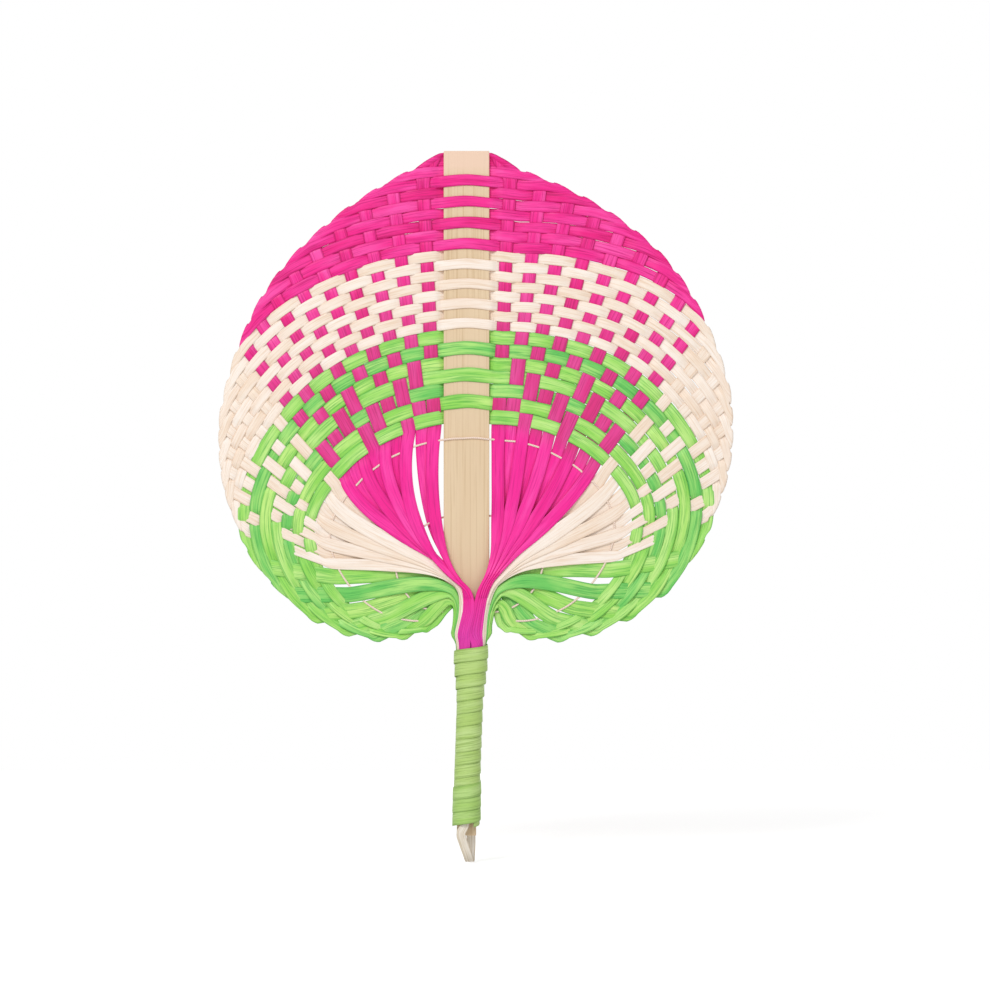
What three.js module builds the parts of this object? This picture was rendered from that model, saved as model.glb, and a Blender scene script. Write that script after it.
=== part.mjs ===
// Bamboo hand fan, about 22 cm wide and 30 cm tall.
//
// A flat bamboo slat stands in the middle. Twenty-four flat strips are woven across it. Each
// strip is one unbroken piece: it rises from the grip on the left as a column, folds over at
// the rim, crosses the slat as a row, folds over at the right rim and comes back down as a
// column. Row j therefore crosses every column of a lower number on each side. All the ends
// gather in the neck, half in front of the slat and half behind it, and run down the grip
// under a wound strip. A bent strip at the bottom hangs the fan up.
//
// The blade lies in the XZ plane, the front faces -Y, the tip points to +Z, and the origin is
// the middle of the grip. Lengths are millimetres and angles are degrees.

import * as THREE from 'three';

// Spacing of the rows of each colour at the slat.
const PINK_ROW_PITCH = 4.5;
const CREAM_ROW_PITCH = 4.2;
const GREEN_ROW_PITCH = 5.65;

// Each colour joins the bundle of the neck at its own height above the collar and bends into it
// over its own length.
const PINK_JOIN_HEIGHT = 22;
const CREAM_JOIN_HEIGHT = 18;
const GREEN_JOIN_HEIGHT = 16;
const PINK_BEND_LENGTH = 6;
const CREAM_BEND_LENGTH = 10;
const GREEN_BEND_LENGTH = 9;

// The three colours of strip, from the tip inwards. The column pitch is the angle between their
// columns, and the column reach is the share of the way to the neck for which they keep it.
const COLOURS = [
  {
    name: 'pink', count: 9, rowPitch: PINK_ROW_PITCH, columnPitch: 4.35, columnReach: 0.62,
    joinHeight: PINK_JOIN_HEIGHT, bendLength: PINK_BEND_LENGTH, shades: [0xf0318f, 0xe8247f],
  },
  {
    name: 'cream', count: 8, rowPitch: CREAM_ROW_PITCH, columnPitch: 3.4, columnReach: 0.55,
    joinHeight: CREAM_JOIN_HEIGHT, bendLength: CREAM_BEND_LENGTH, shades: [0xf3e6d2, 0xeddcc3],
  },
  {
    name: 'green', count: 7, rowPitch: GREEN_ROW_PITCH, columnPitch: 8.0, columnReach: 0.45,
    joinHeight: GREEN_JOIN_HEIGHT, bendLength: GREEN_BEND_LENGTH, shades: [0x7ccb4e, 0x9ad455, 0x58b85a],
  },
];
const STRIP_THICKNESS = 0.28;
const STRIP_WIDTH = 4.9;
const ROW_GAP = 0.35;
const COLUMN_GAP = 1.15;

// The grip, whose middle is the origin, and the neck between it and the fan's centre.
const GRIP_LENGTH = 77;
const NECK_HEIGHT = 21;
const COLLAR_TOP = GRIP_LENGTH / 2;
const COLLAR_HEIGHT = 24.5;
const CENTRE_HEIGHT = COLLAR_TOP + NECK_HEIGHT;

// The rows are arcs about the fan's centre, which lies on the slat above the neck.
const INNER_ROW_RADIUS = 76.5;
const FIRST_COLUMN_ANGLE = 7.35;
const FIRST_GREEN_ANGLE = 82;
const EVENLY_SPACED_COLUMNS = 12;

// Past the shoulder the inner row bends in towards the neck. The rows crowd together along the
// flanks, and more in the lobes, each by a share of their pitch.
const SHOULDER_ANGLE = 66;
const SHOULDER_SOFTNESS = 4;
const INWARD_RATE = 0.835;
const FLANK_START = 28;
const FLANK_SPAN = 40;
const FLANK_CROWDING = 0.13;
const LOBE_START = 70;
const LOBE_SPAN = 50;
const LOBE_CROWDING = 0.21;

// At the rim each fold is pulled in a little towards the slat. A strip whose directions before
// and after the rim agree better than the limit, a cosine, isn't folded over.
const RIM_DRAW = 2.2;
const FOLD_LIMIT = 0.6;

// The hand-made fan is a little fuller on its right side.
const SIDES = [
  { name: 'left', sign: -1, stretch: 0, turn: 0 },
  { name: 'right', sign: 1, stretch: 0.1, turn: 1.8 },
];
const LEAN_START = 8;
const LEAN_END = 128;

// Clearances between pieces that touch in the real fan.
const CROSSING_CLEARANCE = 0.12;
const SPINE_CLEARANCE = 0.13;
const WEAVE_CLEARANCE = 0.22;
const LAYER_CLEARANCE = 0.08;
const WRAP_CLEARANCE = 0.42;
const WEAVE_HEIGHT = STRIP_THICKNESS + WEAVE_CLEARANCE;

// The bamboo slat and the tang that it narrows to inside the grip.
const SPINE_WIDTH = 19.4;
const SPINE_THICKNESS = 1.6;
const TIP_OVERHANG = 1.6;
const SHOULDER_ABOVE_CENTRE = 14;
const TANG_WIDTH = 8.2;
const STUB_LENGTH = 4.2;
const BARE_FACE_LENGTH = 6.8;
const BARE_FACE_BELOW_ROWS = 12.5;

// The columns aim beside the fan's centre, just outside the slat.
const AIM_BESIDE_SLAT = 0.6;
const COLUMN_OFFSET = SPINE_WIDTH / 2 + AIM_BESIDE_SLAT;
const COLUMN_REFERENCE_RADIUS = 125;

// The neck, where each strip settles at its own depth in front of the tang or behind it.
const SETTLED = 0.75;
const SETTLE_POWER = 1.5;
const OPEN_STEPS = [0.05, 0.22, 0.4, 0.58, 0.78, 1];
const OPEN_WIDENING = 1.2;
const INNER_THREAD_STEP = 2;
const NECK_SHIFT = 1.9;

// The binding threads that part the front columns from the back ones.
const THREAD_SIZE = 0.3;
const OUTER_THREAD_INSET = 11;
const OUTER_THREAD_END = 124;
const THREAD_STEP = 6;
const STRIPS_ON_INNER_THREAD = 22;
const SHED_DEPTH = (STRIP_THICKNESS + THREAD_SIZE) / 2 + WEAVE_CLEARANCE;

// The grip's strips are packed to an oval round the tang.
const LAYER_PITCH = STRIP_THICKNESS + LAYER_CLEARANCE;
const CENTRE_GAP = 0.3;
const TANG_MARGIN = 0.7;
const COLLAR_FLARE = 1.8;
const OVAL_MARGIN = 0.65;
const STRIP_END_INSET = 4.5;

// The wound strip round the grip, and its second layer at the bottom.
const WRAP_WIDTH = 5.0;
const WRAP_THICKNESS = 0.35;
const WRAP_PITCH = 5.45;
const WRAP_END_LENGTH = 19;
const WRAP_STEPS = 16;
const WRAP_START_ANGLE = 35;
const WRAP_END_START_ANGLE = -100;
const WRAP_LAYER_GAP = 0.12;

// The bent strip at the bottom. Its tails lie in the grip, where the outermost strips stop.
const LOOP_WIDTH = 3.6;
const LOOP_THICKNESS = 0.5;
const LOOP_TAIL_LENGTH = 15.5;
const LOOP_DROP = 15.4;
const LOOP_EYE_HALF_DEPTH = 5.1;
const LOOP_STEPS = 26;
const LOOP_TAIL_GAP = 1.5;
const STRIPS_STOPPED_BY_LOOP = 4;

const SLAT_COLOUR = 0xd9bd92;
const THREAD_COLOUR = 0xe9d3bd;
const WRAP_COLOUR = 0xa9cf5c;
const WRAP_END_COLOUR = 0x9ccb55;
const LOOP_COLOUR = 0xe6dac6;

// Which strip shows on top in the green rows, for columns 1 to 17 and rows 18 to 24: a c where
// the column does and an r where the row does. The green rows float over and under more than
// one column, as the real weave does. Everywhere else they simply alternate.
const GREEN_DRAFT = [
  'rcrrrcr', 'crccrcr', 'rcrccrc', 'crcrcrr', 'rcrrccr', 'crccrcc', 'rcrccrr', 'crcrcrr', 'rcrrccr',
  'crccrrc', 'rcrccrr', 'rccrcrr', 'crccrcr', 'crrccrc', 'crrcrrc', 'rcrrccr', 'crrrrcc',
];

const DEGREE = Math.PI / 180;
const SOLVING_PASSES = 6;

// Strips are numbered from 1 at the tip. Strip 0 stands for the slat.
const strips = [{ angle: 0 }];
for (const colour of COLOURS) {
  for (let place = 1; place <= colour.count; place += 1) {
    strips.push({ name: `${colour.name}_strip_${place}`, colour, place });
  }
}
const LAST = strips.length - 1;
strips[LAST].radius = INNER_ROW_RADIUS;
for (let number = LAST - 1; number > 0; number -= 1) {
  const pitches = strips[number].colour.rowPitch + strips[number + 1].colour.rowPitch;
  strips[number].radius = strips[number + 1].radius + pitches / 2;
}
const firstGreen = strips.findIndex((strip) => strip.colour?.name === 'green');
for (let number = 1; number <= LAST; number += 1) {
  if (number === 1) strips[number].angle = FIRST_COLUMN_ANGLE;
  else if (number === firstGreen) strips[number].angle = FIRST_GREEN_ANGLE;
  else {
    const pitch = number <= EVENLY_SPACED_COLUMNS ? COLOURS[0].columnPitch : strips[number].colour.columnPitch;
    strips[number].angle = strips[number - 1].angle + pitch;
  }
  strips[number].angularPitch = strips[number].angle - strips[number - 1].angle;
}

function mix(from, to, share) {
  return from + (to - from) * share;
}

function smooth(value) {
  const t = Math.min(1, Math.max(0, value));
  return t * t * (3 - 2 * t);
}

// Radius of the innermost row in a given direction from the fan's centre.
function innerRadius(angle) {
  const past = angle - SHOULDER_ANGLE;
  const bend = (past + Math.hypot(past, 2 * SHOULDER_SOFTNESS)) / 2;
  return INNER_ROW_RADIUS - INWARD_RATE * bend;
}

// Share of their pitch that the rows keep in a given direction.
function crowding(angle) {
  const flank = FLANK_CROWDING * smooth((angle - FLANK_START) / FLANK_SPAN);
  const lobe = LOBE_CROWDING * smooth((angle - LOBE_START) / LOBE_SPAN);
  return 1 - flank - lobe;
}

function rowRadius(number, angle) {
  return innerRadius(angle) + (strips[number].radius - INNER_ROW_RADIUS) * crowding(angle);
}

function rowWidth(number, angle) {
  return strips[number].colour.rowPitch * crowding(angle) - ROW_GAP;
}

function columnWidth(number, radius) {
  const room = strips[number].angularPitch * DEGREE * radius - COLUMN_GAP;
  return Math.min(STRIP_WIDTH, room);
}

// Direction of a point that lies a distance beside the middle of a column.
function columnAngle(number, radius, beside = 0) {
  if (number === 0) return Math.asin(beside / radius) / DEGREE;
  const offset = strips[number].angle < FIRST_GREEN_ANGLE ? COLUMN_OFFSET : 0;
  const drift = offset * (1 / radius - 1 / COLUMN_REFERENCE_RADIUS);
  return strips[number].angle + (drift + beside / radius) / DEGREE;
}

// A point of the blade, from its direction and distance from the fan's centre.
function place(side, angle, radius) {
  const share = Math.min(Math.max(angle - LEAN_START, 0), LEAN_END - LEAN_START);
  const lean = Math.sin((share / (LEAN_END - LEAN_START)) * Math.PI);
  const turned = (angle - side.turn * lean) * DEGREE;
  const reach = radius * (1 + side.stretch * lean);
  return new THREE.Vector2(side.sign * reach * Math.sin(turned), CENTRE_HEIGHT + reach * Math.cos(turned));
}

// The direction in which a line beside a column meets one edge of a row.
function crossingAngle(row, edge, column, beside) {
  let angle = strips[column].angle;
  for (let pass = 0; pass < SOLVING_PASSES; pass += 1) {
    const radius = rowRadius(row, angle) + (edge * rowWidth(row, angle)) / 2;
    angle = columnAngle(column, radius, beside);
  }
  return angle;
}

// Whether a row passes in front of a column. Column 0 is the slat.
function rowInFront(row, column) {
  if (column === 0) return row % 2 === 1 && row > 1;
  const draft = GREEN_DRAFT[column - 1];
  if (draft && row >= firstGreen) return draft[row - firstGreen] === 'r';
  return (row + column) % 2 === 1;
}

// A station is a section of a strip: its middle, half its width and half its thickness.
function station(middle, y, halfWidth, halfThickness) {
  return {
    middle: new THREE.Vector3(middle.x, y, middle.y),
    width: new THREE.Vector3(halfWidth.x, 0, halfWidth.y),
    thickness: halfThickness,
  };
}

const HALF_THICKNESS = STRIP_THICKNESS / 2;
const FRONT = new THREE.Vector3(0, -HALF_THICKNESS, 0);
const BACK = new THREE.Vector3(0, HALF_THICKNESS, 0);

function edgeStation(outer, inner, y, thickness) {
  const middle = outer.clone().add(inner).multiplyScalar(0.5);
  return station(middle, y, inner.clone().sub(middle), thickness);
}

// One row from the slat to the last column that it crosses.
function rowStations(row, side) {
  const list = [];
  const crossing = (column, beside, y) => {
    const points = [1, -1].map((edge) => {
      const angle = crossingAngle(row, edge, column, beside);
      const radius = rowRadius(row, angle) + (edge * rowWidth(row, angle)) / 2;
      return place(side, angle, radius);
    });
    list.push(edgeStation(points[0], points[1], y, FRONT));
  };
  const level = (column, height) => (rowInFront(row, column) ? -height : height);
  const spineHeight = SPINE_THICKNESS / 2 + SPINE_CLEARANCE + HALF_THICKNESS;
  crossing(0, SPINE_WIDTH / 2 + CROSSING_CLEARANCE, level(0, spineHeight));
  for (let column = 1; column < row; column += 1) {
    const radius = rowRadius(row, strips[column].angle);
    const beside = columnWidth(column, radius) / 2 + CROSSING_CLEARANCE;
    crossing(column, -beside, level(column, WEAVE_HEIGHT));
    crossing(column, beside, level(column, WEAVE_HEIGHT));
  }
  return list;
}

// Directions in which a strip arrives at the rim and leaves it.
function rimDirections(number, side, angle, radius) {
  const point = place(side, angle, radius);
  const before = place(side, angle - 1, rowRadius(number, angle - 1));
  const after = place(side, columnAngle(number, radius - 1), radius - 1);
  const column = place(side, columnAngle(number, radius), radius);
  return { arriving: point.sub(before).normalize(), leaving: after.sub(column).normalize() };
}

// Where a strip turns at the rim. One that turns sharply is folded over, so its other face shows
// on the column, and its fold is drawn in a little. The last ones only bend.
function rimTurn(number, side) {
  let angle = strips[number].angle;
  const bend = rimDirections(number, side, angle, rowRadius(number, angle));
  const folded = bend.arriving.dot(bend.leaving) < FOLD_LIMIT;
  const draw = folded ? RIM_DRAW * crowding(angle) : 0;
  for (let pass = 0; pass < SOLVING_PASSES; pass += 1) angle = columnAngle(number, rowRadius(number, angle), -draw);
  const radius = rowRadius(number, angle);
  const { arriving, leaving } = rimDirections(number, side, angle, radius);
  const point = place(side, angle, radius);
  const inwards = place(side, angle, radius - 1).sub(point).normalize();
  const sloped = rowWidth(number, angle) * Math.abs(arriving.cross(inwards));
  const width = Math.min(sloped, columnWidth(number, radius));
  return { point, width, arriving, leaving, folded };
}

function foldStations({ point, width, arriving, leaving, folded }) {
  const crease = arriving.clone().add(leaving).normalize();
  const outward = arriving.clone().sub(leaving).normalize();
  if (!folded) {
    const mitre = width / 2 / crease.dot(arriving);
    return [station(point, 0, outward.multiplyScalar(-mitre), FRONT)];
  }
  const along = crease.clone().multiplyScalar(width / 2 / Math.abs(crease.cross(arriving)));
  const bulge = point.clone().addScaledVector(outward, WEAVE_HEIGHT / 2);
  const edge = new THREE.Vector3(outward.x, 0, outward.y).multiplyScalar(HALF_THICKNESS);
  return [
    station(point, -WEAVE_HEIGHT, along, FRONT),
    station(bulge, -WEAVE_HEIGHT / 2, along, edge),
    station(point, 0, along, BACK),
  ];
}

// Rows between two sections of a column, so that the sections follow the fan's curve.
const COLUMN_STRIDE = 5;

function columnSection(number, side, radius, folded) {
  const half = columnWidth(number, radius) / 2;
  const near = place(side, columnAngle(number, radius, -half), radius);
  const far = place(side, columnAngle(number, radius, half), radius);
  return folded ? edgeStation(near, far, 0, BACK) : edgeStation(far, near, 0, FRONT);
}

// Radius at which the whole width of a column has passed the innermost row.
function columnEndRadius(number) {
  const { angle } = strips[number];
  if (number === LAST) return innerRadius(angle);
  const half = columnWidth(number, innerRadius(angle)) / 2;
  const passed = crossingAngle(LAST, -1, number, half + CROSSING_CLEARANCE);
  return rowRadius(LAST, passed) - rowWidth(LAST, passed) / 2;
}

function columnStations(number, side, folded) {
  const list = [];
  for (let row = number + 1; row < LAST; row += COLUMN_STRIDE) {
    list.push(columnSection(number, side, rowRadius(row, strips[number].angle), folded));
  }
  if (number < LAST) list.push(columnSection(number, side, columnEndRadius(number), folded));
  return list;
}

// Depth of a strip's layer in the grip. The strips of odd number lie in front of the tang.
function layerDepth(number) {
  const layer = Math.floor((LAST - number) / 2);
  return SPINE_THICKNESS / 2 + LAYER_CLEARANCE + HALF_THICKNESS + layer * LAYER_PITCH;
}

const GRIP_HALF_DEPTH = layerDepth(1) + OVAL_MARGIN;
const GRIP_HALF_WIDTH = TANG_WIDTH / 2 + TANG_MARGIN;
const STRIP_END = -COLLAR_TOP + STRIP_END_INSET;
const LOOP_TAIL_TOP = -COLLAR_TOP + LOOP_TAIL_LENGTH;
const STOPPED_STRIP_END = LOOP_TAIL_TOP + LOOP_TAIL_GAP;

function gripHalfWidth(z) {
  const share = smooth((z - COLLAR_TOP + COLLAR_HEIGHT) / COLLAR_HEIGHT);
  return GRIP_HALF_WIDTH + COLLAR_FLARE * share;
}

// The grip stands a little to the right at the neck, as it does on the real fan.
function gripCentre(z) {
  return NECK_SHIFT * smooth(z / GRIP_LENGTH + 0.5);
}

function gripSection(number, side, z, folded) {
  const depth = layerDepth(number);
  const room = gripHalfWidth(z) * Math.sqrt(1 - (depth / GRIP_HALF_DEPTH) ** 2);
  const width = Math.min(STRIP_WIDTH, room - CENTRE_GAP / 2);
  const x = gripCentre(z) + side.sign * (room - width / 2);
  const y = number % 2 === 1 ? -depth : depth;
  const across = new THREE.Vector2((folded ? side.sign : -side.sign) * (width / 2), 0);
  return station(new THREE.Vector2(x, z), y, across, folded ? BACK : FRONT);
}

// The way of a strip from the inner row to the bundle of the neck.
function openCurve(number, side) {
  const { colour } = strips[number];
  const radius = columnEndRadius(number);
  const start = place(side, columnAngle(number, radius), radius);
  const { leaving } = rimTurn(number, side);
  const collar = gripSection(number, side, COLLAR_TOP, false);
  const end = new THREE.Vector2(collar.middle.x, COLLAR_TOP + colour.joinHeight);
  const gather = new THREE.Vector2(end.x, end.y + colour.bendLength);
  const reach = start.distanceTo(gather) * colour.columnReach;
  return new THREE.CubicBezierCurve(start, start.clone().addScaledVector(leaving, reach), gather, end);
}

const openCurves = SIDES.map((side) => strips.map((strip, number) => (number ? openCurve(number, side) : null)));

// Distance from a strip, at a step of its curve, to the next strips at the same depth.
function roomBeside(number, curves, step) {
  const point = curves[number].getPoint(step);
  const heading = curves[number].getTangent(step);
  const others = [curves[number - 2], curves[number + 2]].filter(Boolean);
  return Math.min(...others.map((curve) => Math.abs(curve.getPoint(step).sub(point).cross(heading))));
}

// Strips that lie at the same depth stay side by side until they have settled at their own
// depths, and only then spread out over each other.
function openStations(number, side, folded) {
  const curves = openCurves[SIDES.indexOf(side)];
  const { angle } = strips[number];
  const endWidth = gripSection(number, side, COLLAR_TOP, folded).width.length() * 2;
  const startWidth = Math.min(columnWidth(number, innerRadius(angle)), rowWidth(number, angle) * OPEN_WIDENING);
  return OPEN_STEPS.map((step) => {
    const room = roomBeside(number, curves, step) - CROSSING_CLEARANCE;
    const spread = smooth((step - SETTLED) / (1 - SETTLED));
    const width = mix(Math.min(startWidth, room), endWidth, spread);
    const settled = Math.min(1, step / SETTLED) ** SETTLE_POWER;
    const y = mix(SHED_DEPTH, layerDepth(number), settled);
    const heading = curves[number].getTangent(step);
    const across = new THREE.Vector2(-heading.y, heading.x).multiplyScalar((side.sign * width) / 2);
    if (!folded) across.negate();
    const middle = curves[number].getPoint(step);
    return station(middle, number % 2 === 1 ? -y : y, across, folded ? BACK : FRONT);
  });
}

// Half a strip, from the slat's edge to the end in the grip.
function halfStrip(number, side) {
  const turn = rimTurn(number, side);
  const stop = number <= STRIPS_STOPPED_BY_LOOP ? STOPPED_STRIP_END : STRIP_END;
  const gripLevels = [COLLAR_TOP, COLLAR_TOP - COLLAR_HEIGHT / 2, COLLAR_TOP - COLLAR_HEIGHT, stop];
  return [
    ...rowStations(number, side),
    ...foldStations(turn),
    ...columnStations(number, side, turn.folded),
    ...openStations(number, side, turn.folded),
    ...gripLevels.map((z) => gripSection(number, side, z, turn.folded)),
  ];
}

// A closed body through a list of stations.
function sweep(stations) {
  const positions = [];
  for (const { middle, width, thickness } of stations) {
    for (const [across, out] of [[1, 1], [-1, 1], [-1, -1], [1, -1]]) {
      const corner = middle.clone().addScaledVector(width, across).addScaledVector(thickness, out);
      positions.push(corner.x, corner.y, corner.z);
    }
  }
  const indices = [];
  for (let ring = 0; ring < stations.length - 1; ring += 1) {
    for (let corner = 0; corner < 4; corner += 1) {
      const a = ring * 4 + corner;
      const b = ring * 4 + ((corner + 1) % 4);
      indices.push(a, b, b + 4, a, b + 4, a + 4);
    }
  }
  const end = (stations.length - 1) * 4;
  indices.push(0, 2, 1, 0, 3, 2, end, end + 1, end + 2, end, end + 2, end + 3);
  if (signedVolume(positions, indices) < 0) indices.reverse();
  const geometry = new THREE.BufferGeometry();
  geometry.setAttribute('position', new THREE.Float32BufferAttribute(positions, 3));
  geometry.setIndex(indices);
  geometry.computeVertexNormals();
  return geometry;
}

function signedVolume(positions, indices) {
  const corner = (index) => new THREE.Vector3().fromArray(positions, index * 3);
  let total = 0;
  for (let i = 0; i < indices.length; i += 3) {
    total += corner(indices[i]).dot(corner(indices[i + 1]).cross(corner(indices[i + 2])));
  }
  return total / 6;
}

const fan = new THREE.Group();

function addPiece(name, geometry, color) {
  const material = new THREE.MeshStandardMaterial({ color, roughness: 0.6, metalness: 0 });
  const piece = new THREE.Mesh(geometry, material);
  piece.name = name;
  fan.add(piece);
}

// The slat: full width down to its shoulder, then tapering to the tang.
function makeSpine() {
  const thickness = new THREE.Vector3(0, -SPINE_THICKNESS / 2, 0);
  const tip = CENTRE_HEIGHT + strips[1].radius + rowWidth(1, 0) / 2 + TIP_OVERHANG;
  const bareTop = CENTRE_HEIGHT + INNER_ROW_RADIUS - BARE_FACE_BELOW_ROWS;
  const levels = [
    [tip, SPINE_WIDTH],
    [bareTop, SPINE_WIDTH],
    [bareTop - BARE_FACE_LENGTH, SPINE_WIDTH],
    [CENTRE_HEIGHT + SHOULDER_ABOVE_CENTRE, SPINE_WIDTH],
    [CENTRE_HEIGHT, TANG_WIDTH],
    [COLLAR_TOP, TANG_WIDTH],
    [-COLLAR_TOP - STUB_LENGTH, TANG_WIDTH],
  ];
  const stations = levels.map(([z, width]) => {
    const x = width === SPINE_WIDTH ? 0 : gripCentre(z);
    return station(new THREE.Vector2(x, z), 0, new THREE.Vector2(width / 2, 0), thickness);
  });
  addPiece('spine', sweep(stations), SLAT_COLOUR);
}

function makeStrips() {
  for (let number = 1; number <= LAST; number += 1) {
    const [left, right] = SIDES.map((side) => halfStrip(number, side));
    const middle = new THREE.Vector2(0, CENTRE_HEIGHT + rowRadius(number, 0));
    const half = new THREE.Vector2(0, -rowWidth(number, 0) / 2);
    const centre = station(middle, right[0].middle.y, half, FRONT);
    const { colour, place: position, name } = strips[number];
    const shade = colour.shades[position % colour.shades.length];
    addPiece(name, sweep([...left.reverse(), centre, ...right]), shade);
  }
}

// A wound strip that climbs to the right across the front of the grip.
function windingStations(length, startAngle, outset) {
  const turns = (length - WRAP_WIDTH) / WRAP_PITCH;
  const steps = Math.round(turns * WRAP_STEPS);
  const stations = [];
  for (let step = 0; step <= steps; step += 1) {
    const angle = (startAngle + (step / WRAP_STEPS) * 360) * DEGREE;
    const z = -COLLAR_TOP + WRAP_WIDTH / 2 + (step / WRAP_STEPS) * WRAP_PITCH;
    const across = gripHalfWidth(z + WRAP_WIDTH / 2) + outset;
    const deep = GRIP_HALF_DEPTH + outset;
    const out = new THREE.Vector3(Math.sin(angle) / across, -Math.cos(angle) / deep, 0).normalize();
    stations.push({
      middle: new THREE.Vector3(gripCentre(z) + across * Math.sin(angle), -deep * Math.cos(angle), z),
      width: new THREE.Vector3(0, 0, -WRAP_WIDTH / 2),
      thickness: out.multiplyScalar(WRAP_THICKNESS / 2),
    });
  }
  return stations;
}

// Least distance between neighbouring turns, measured between the corners of the sections.
function leastGap(stations) {
  let least = Infinity;
  for (let step = WRAP_STEPS; step < stations.length; step += 1) {
    const lower = stations[step - WRAP_STEPS];
    const upper = stations[step];
    for (const out of [1, -1]) {
      const top = lower.middle.clone().sub(lower.width).addScaledVector(lower.thickness, out);
      const bottom = upper.middle.clone().add(upper.width).addScaledVector(upper.thickness, out);
      least = Math.min(least, top.distanceTo(bottom));
    }
  }
  return least;
}

function makeWraps() {
  const outset = WRAP_CLEARANCE + WRAP_THICKNESS / 2;
  const second = outset + WRAP_THICKNESS + WRAP_LAYER_GAP;
  const layers = [
    ['grip_wrap', windingStations(GRIP_LENGTH, WRAP_START_ANGLE, outset), WRAP_COLOUR],
    ['grip_wrap_end', windingStations(WRAP_END_LENGTH, WRAP_END_START_ANGLE, second), WRAP_END_COLOUR],
  ];
  for (const [name, stations, colour] of layers) {
    console.log(`${name}: least gap between turns ${leastGap(stations).toFixed(3)} mm`);
    addPiece(name, sweep(stations), colour);
  }
}

// A thread section: square, lying along the blade.
function threadStation(point, y, across) {
  const half = across.clone().normalize().multiplyScalar(THREAD_SIZE / 2);
  return station(point, y, half, new THREE.Vector3(0, -THREAD_SIZE / 2, 0));
}

// The outer thread rings the blade just inside the woven rows and crosses the slat in front.
function makeOuterThread() {
  const spineY = -(SPINE_THICKNESS + THREAD_SIZE) / 2 - SPINE_CLEARANCE;
  const half = (side) => {
    const list = [];
    const add = (angle, y) => {
      const radius = innerRadius(angle) - OUTER_THREAD_INSET;
      const point = place(side, angle, radius);
      list.push(threadStation(point, y, place(side, angle, radius - 1).sub(point)));
    };
    const radius = INNER_ROW_RADIUS - OUTER_THREAD_INSET;
    add(columnAngle(0, radius, SPINE_WIDTH / 2 + CROSSING_CLEARANCE), spineY);
    add(columnAngle(1, radius, -columnWidth(1, radius) / 2), 0);
    for (let angle = strips[2].angle; angle < OUTER_THREAD_END; angle += THREAD_STEP) add(angle, 0);
    return list;
  };
  const centre = new THREE.Vector2(0, CENTRE_HEIGHT + innerRadius(0) - OUTER_THREAD_INSET);
  const middle = threadStation(centre, spineY, new THREE.Vector2(0, -1));
  const stations = [...half(SIDES[0]).reverse(), middle, ...half(SIDES[1])];
  addPiece('binding_thread_outer', sweep(stations), THREAD_COLOUR);
}

// The inner thread runs behind the slat and winds between the open columns.
function makeInnerThread() {
  const clear = HALF_THICKNESS + THREAD_SIZE / 2 + CROSSING_CLEARANCE;
  const half = (side) => {
    const list = [];
    for (let number = 1; number <= STRIPS_ON_INNER_THREAD; number += 1) {
      const { folded, leaving } = rimTurn(number, side);
      const { middle } = openStations(number, side, folded)[INNER_THREAD_STEP];
      const y = middle.y - Math.sign(middle.y) * clear;
      list.push(threadStation(new THREE.Vector2(middle.x, middle.z), y, leaving));
    }
    return list;
  };
  const [left, right] = SIDES.map(half);
  const behind = (SPINE_THICKNESS + THREAD_SIZE) / 2 + SPINE_CLEARANCE;
  const over = [-1, 0, 1].map((share) => {
    const x = share * (SPINE_WIDTH / 2 + CROSSING_CLEARANCE);
    return threadStation(new THREE.Vector2(x, left[0].middle.z), behind, new THREE.Vector2(0, -1));
  });
  addPiece('binding_thread_inner', sweep([...left.reverse(), ...over, ...right]), THREAD_COLOUR);
}

// The hanging loop: front tail, front limb, round bottom, back limb and back tail. The limbs
// slant differently, so that a sliver of the eye shows between them from the front.
function makeLoop() {
  const tailDepth = layerDepth(STRIPS_STOPPED_BY_LOOP) + LAYER_PITCH / 2;
  const bottom = -COLLAR_TOP - LOOP_DROP;
  // Each limb from its tail down: half depth, height, and sideways place in front and behind.
  const limbs = [
    [tailDepth, LOOP_TAIL_TOP, -0.5, 0.5],
    [tailDepth, mix(LOOP_TAIL_TOP, -COLLAR_TOP, 0.5), -0.5, 0.5],
    [tailDepth, -COLLAR_TOP + 1, -0.7, 0.7],
    [LOOP_EYE_HALF_DEPTH, mix(-COLLAR_TOP, bottom, 0.2), -2.3, 1.7],
    [LOOP_EYE_HALF_DEPTH * 0.9, mix(-COLLAR_TOP, bottom, 0.48), -1.2, 1.9],
    [LOOP_EYE_HALF_DEPTH * 0.65, mix(-COLLAR_TOP, bottom, 0.78), 0.4, 1.7],
  ];
  const route = new THREE.CatmullRomCurve3([
    ...limbs.map(([depth, z, inFront]) => new THREE.Vector3(inFront, -depth, z)),
    new THREE.Vector3(1.4, 0, bottom + LOOP_THICKNESS / 2),
    ...limbs.map(([depth, z, , behind]) => new THREE.Vector3(behind, depth, z)).reverse(),
  ]);
  const stations = [];
  for (let step = 0; step <= LOOP_STEPS; step += 1) {
    const heading = route.getTangentAt(step / LOOP_STEPS);
    const width = new THREE.Vector3(1, 0, 0);
    const out = new THREE.Vector3().crossVectors(heading, width).normalize();
    width.crossVectors(out, heading).normalize();
    stations.push({
      middle: route.getPointAt(step / LOOP_STEPS),
      width: width.multiplyScalar(LOOP_WIDTH / 2),
      thickness: out.multiplyScalar(LOOP_THICKNESS / 2),
    });
  }
  addPiece('hang_loop', sweep(stations), LOOP_COLOUR);
}

makeSpine();
makeStrips();
makeOuterThread();
makeInnerThread();
makeWraps();
makeLoop();

export default fan;
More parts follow.
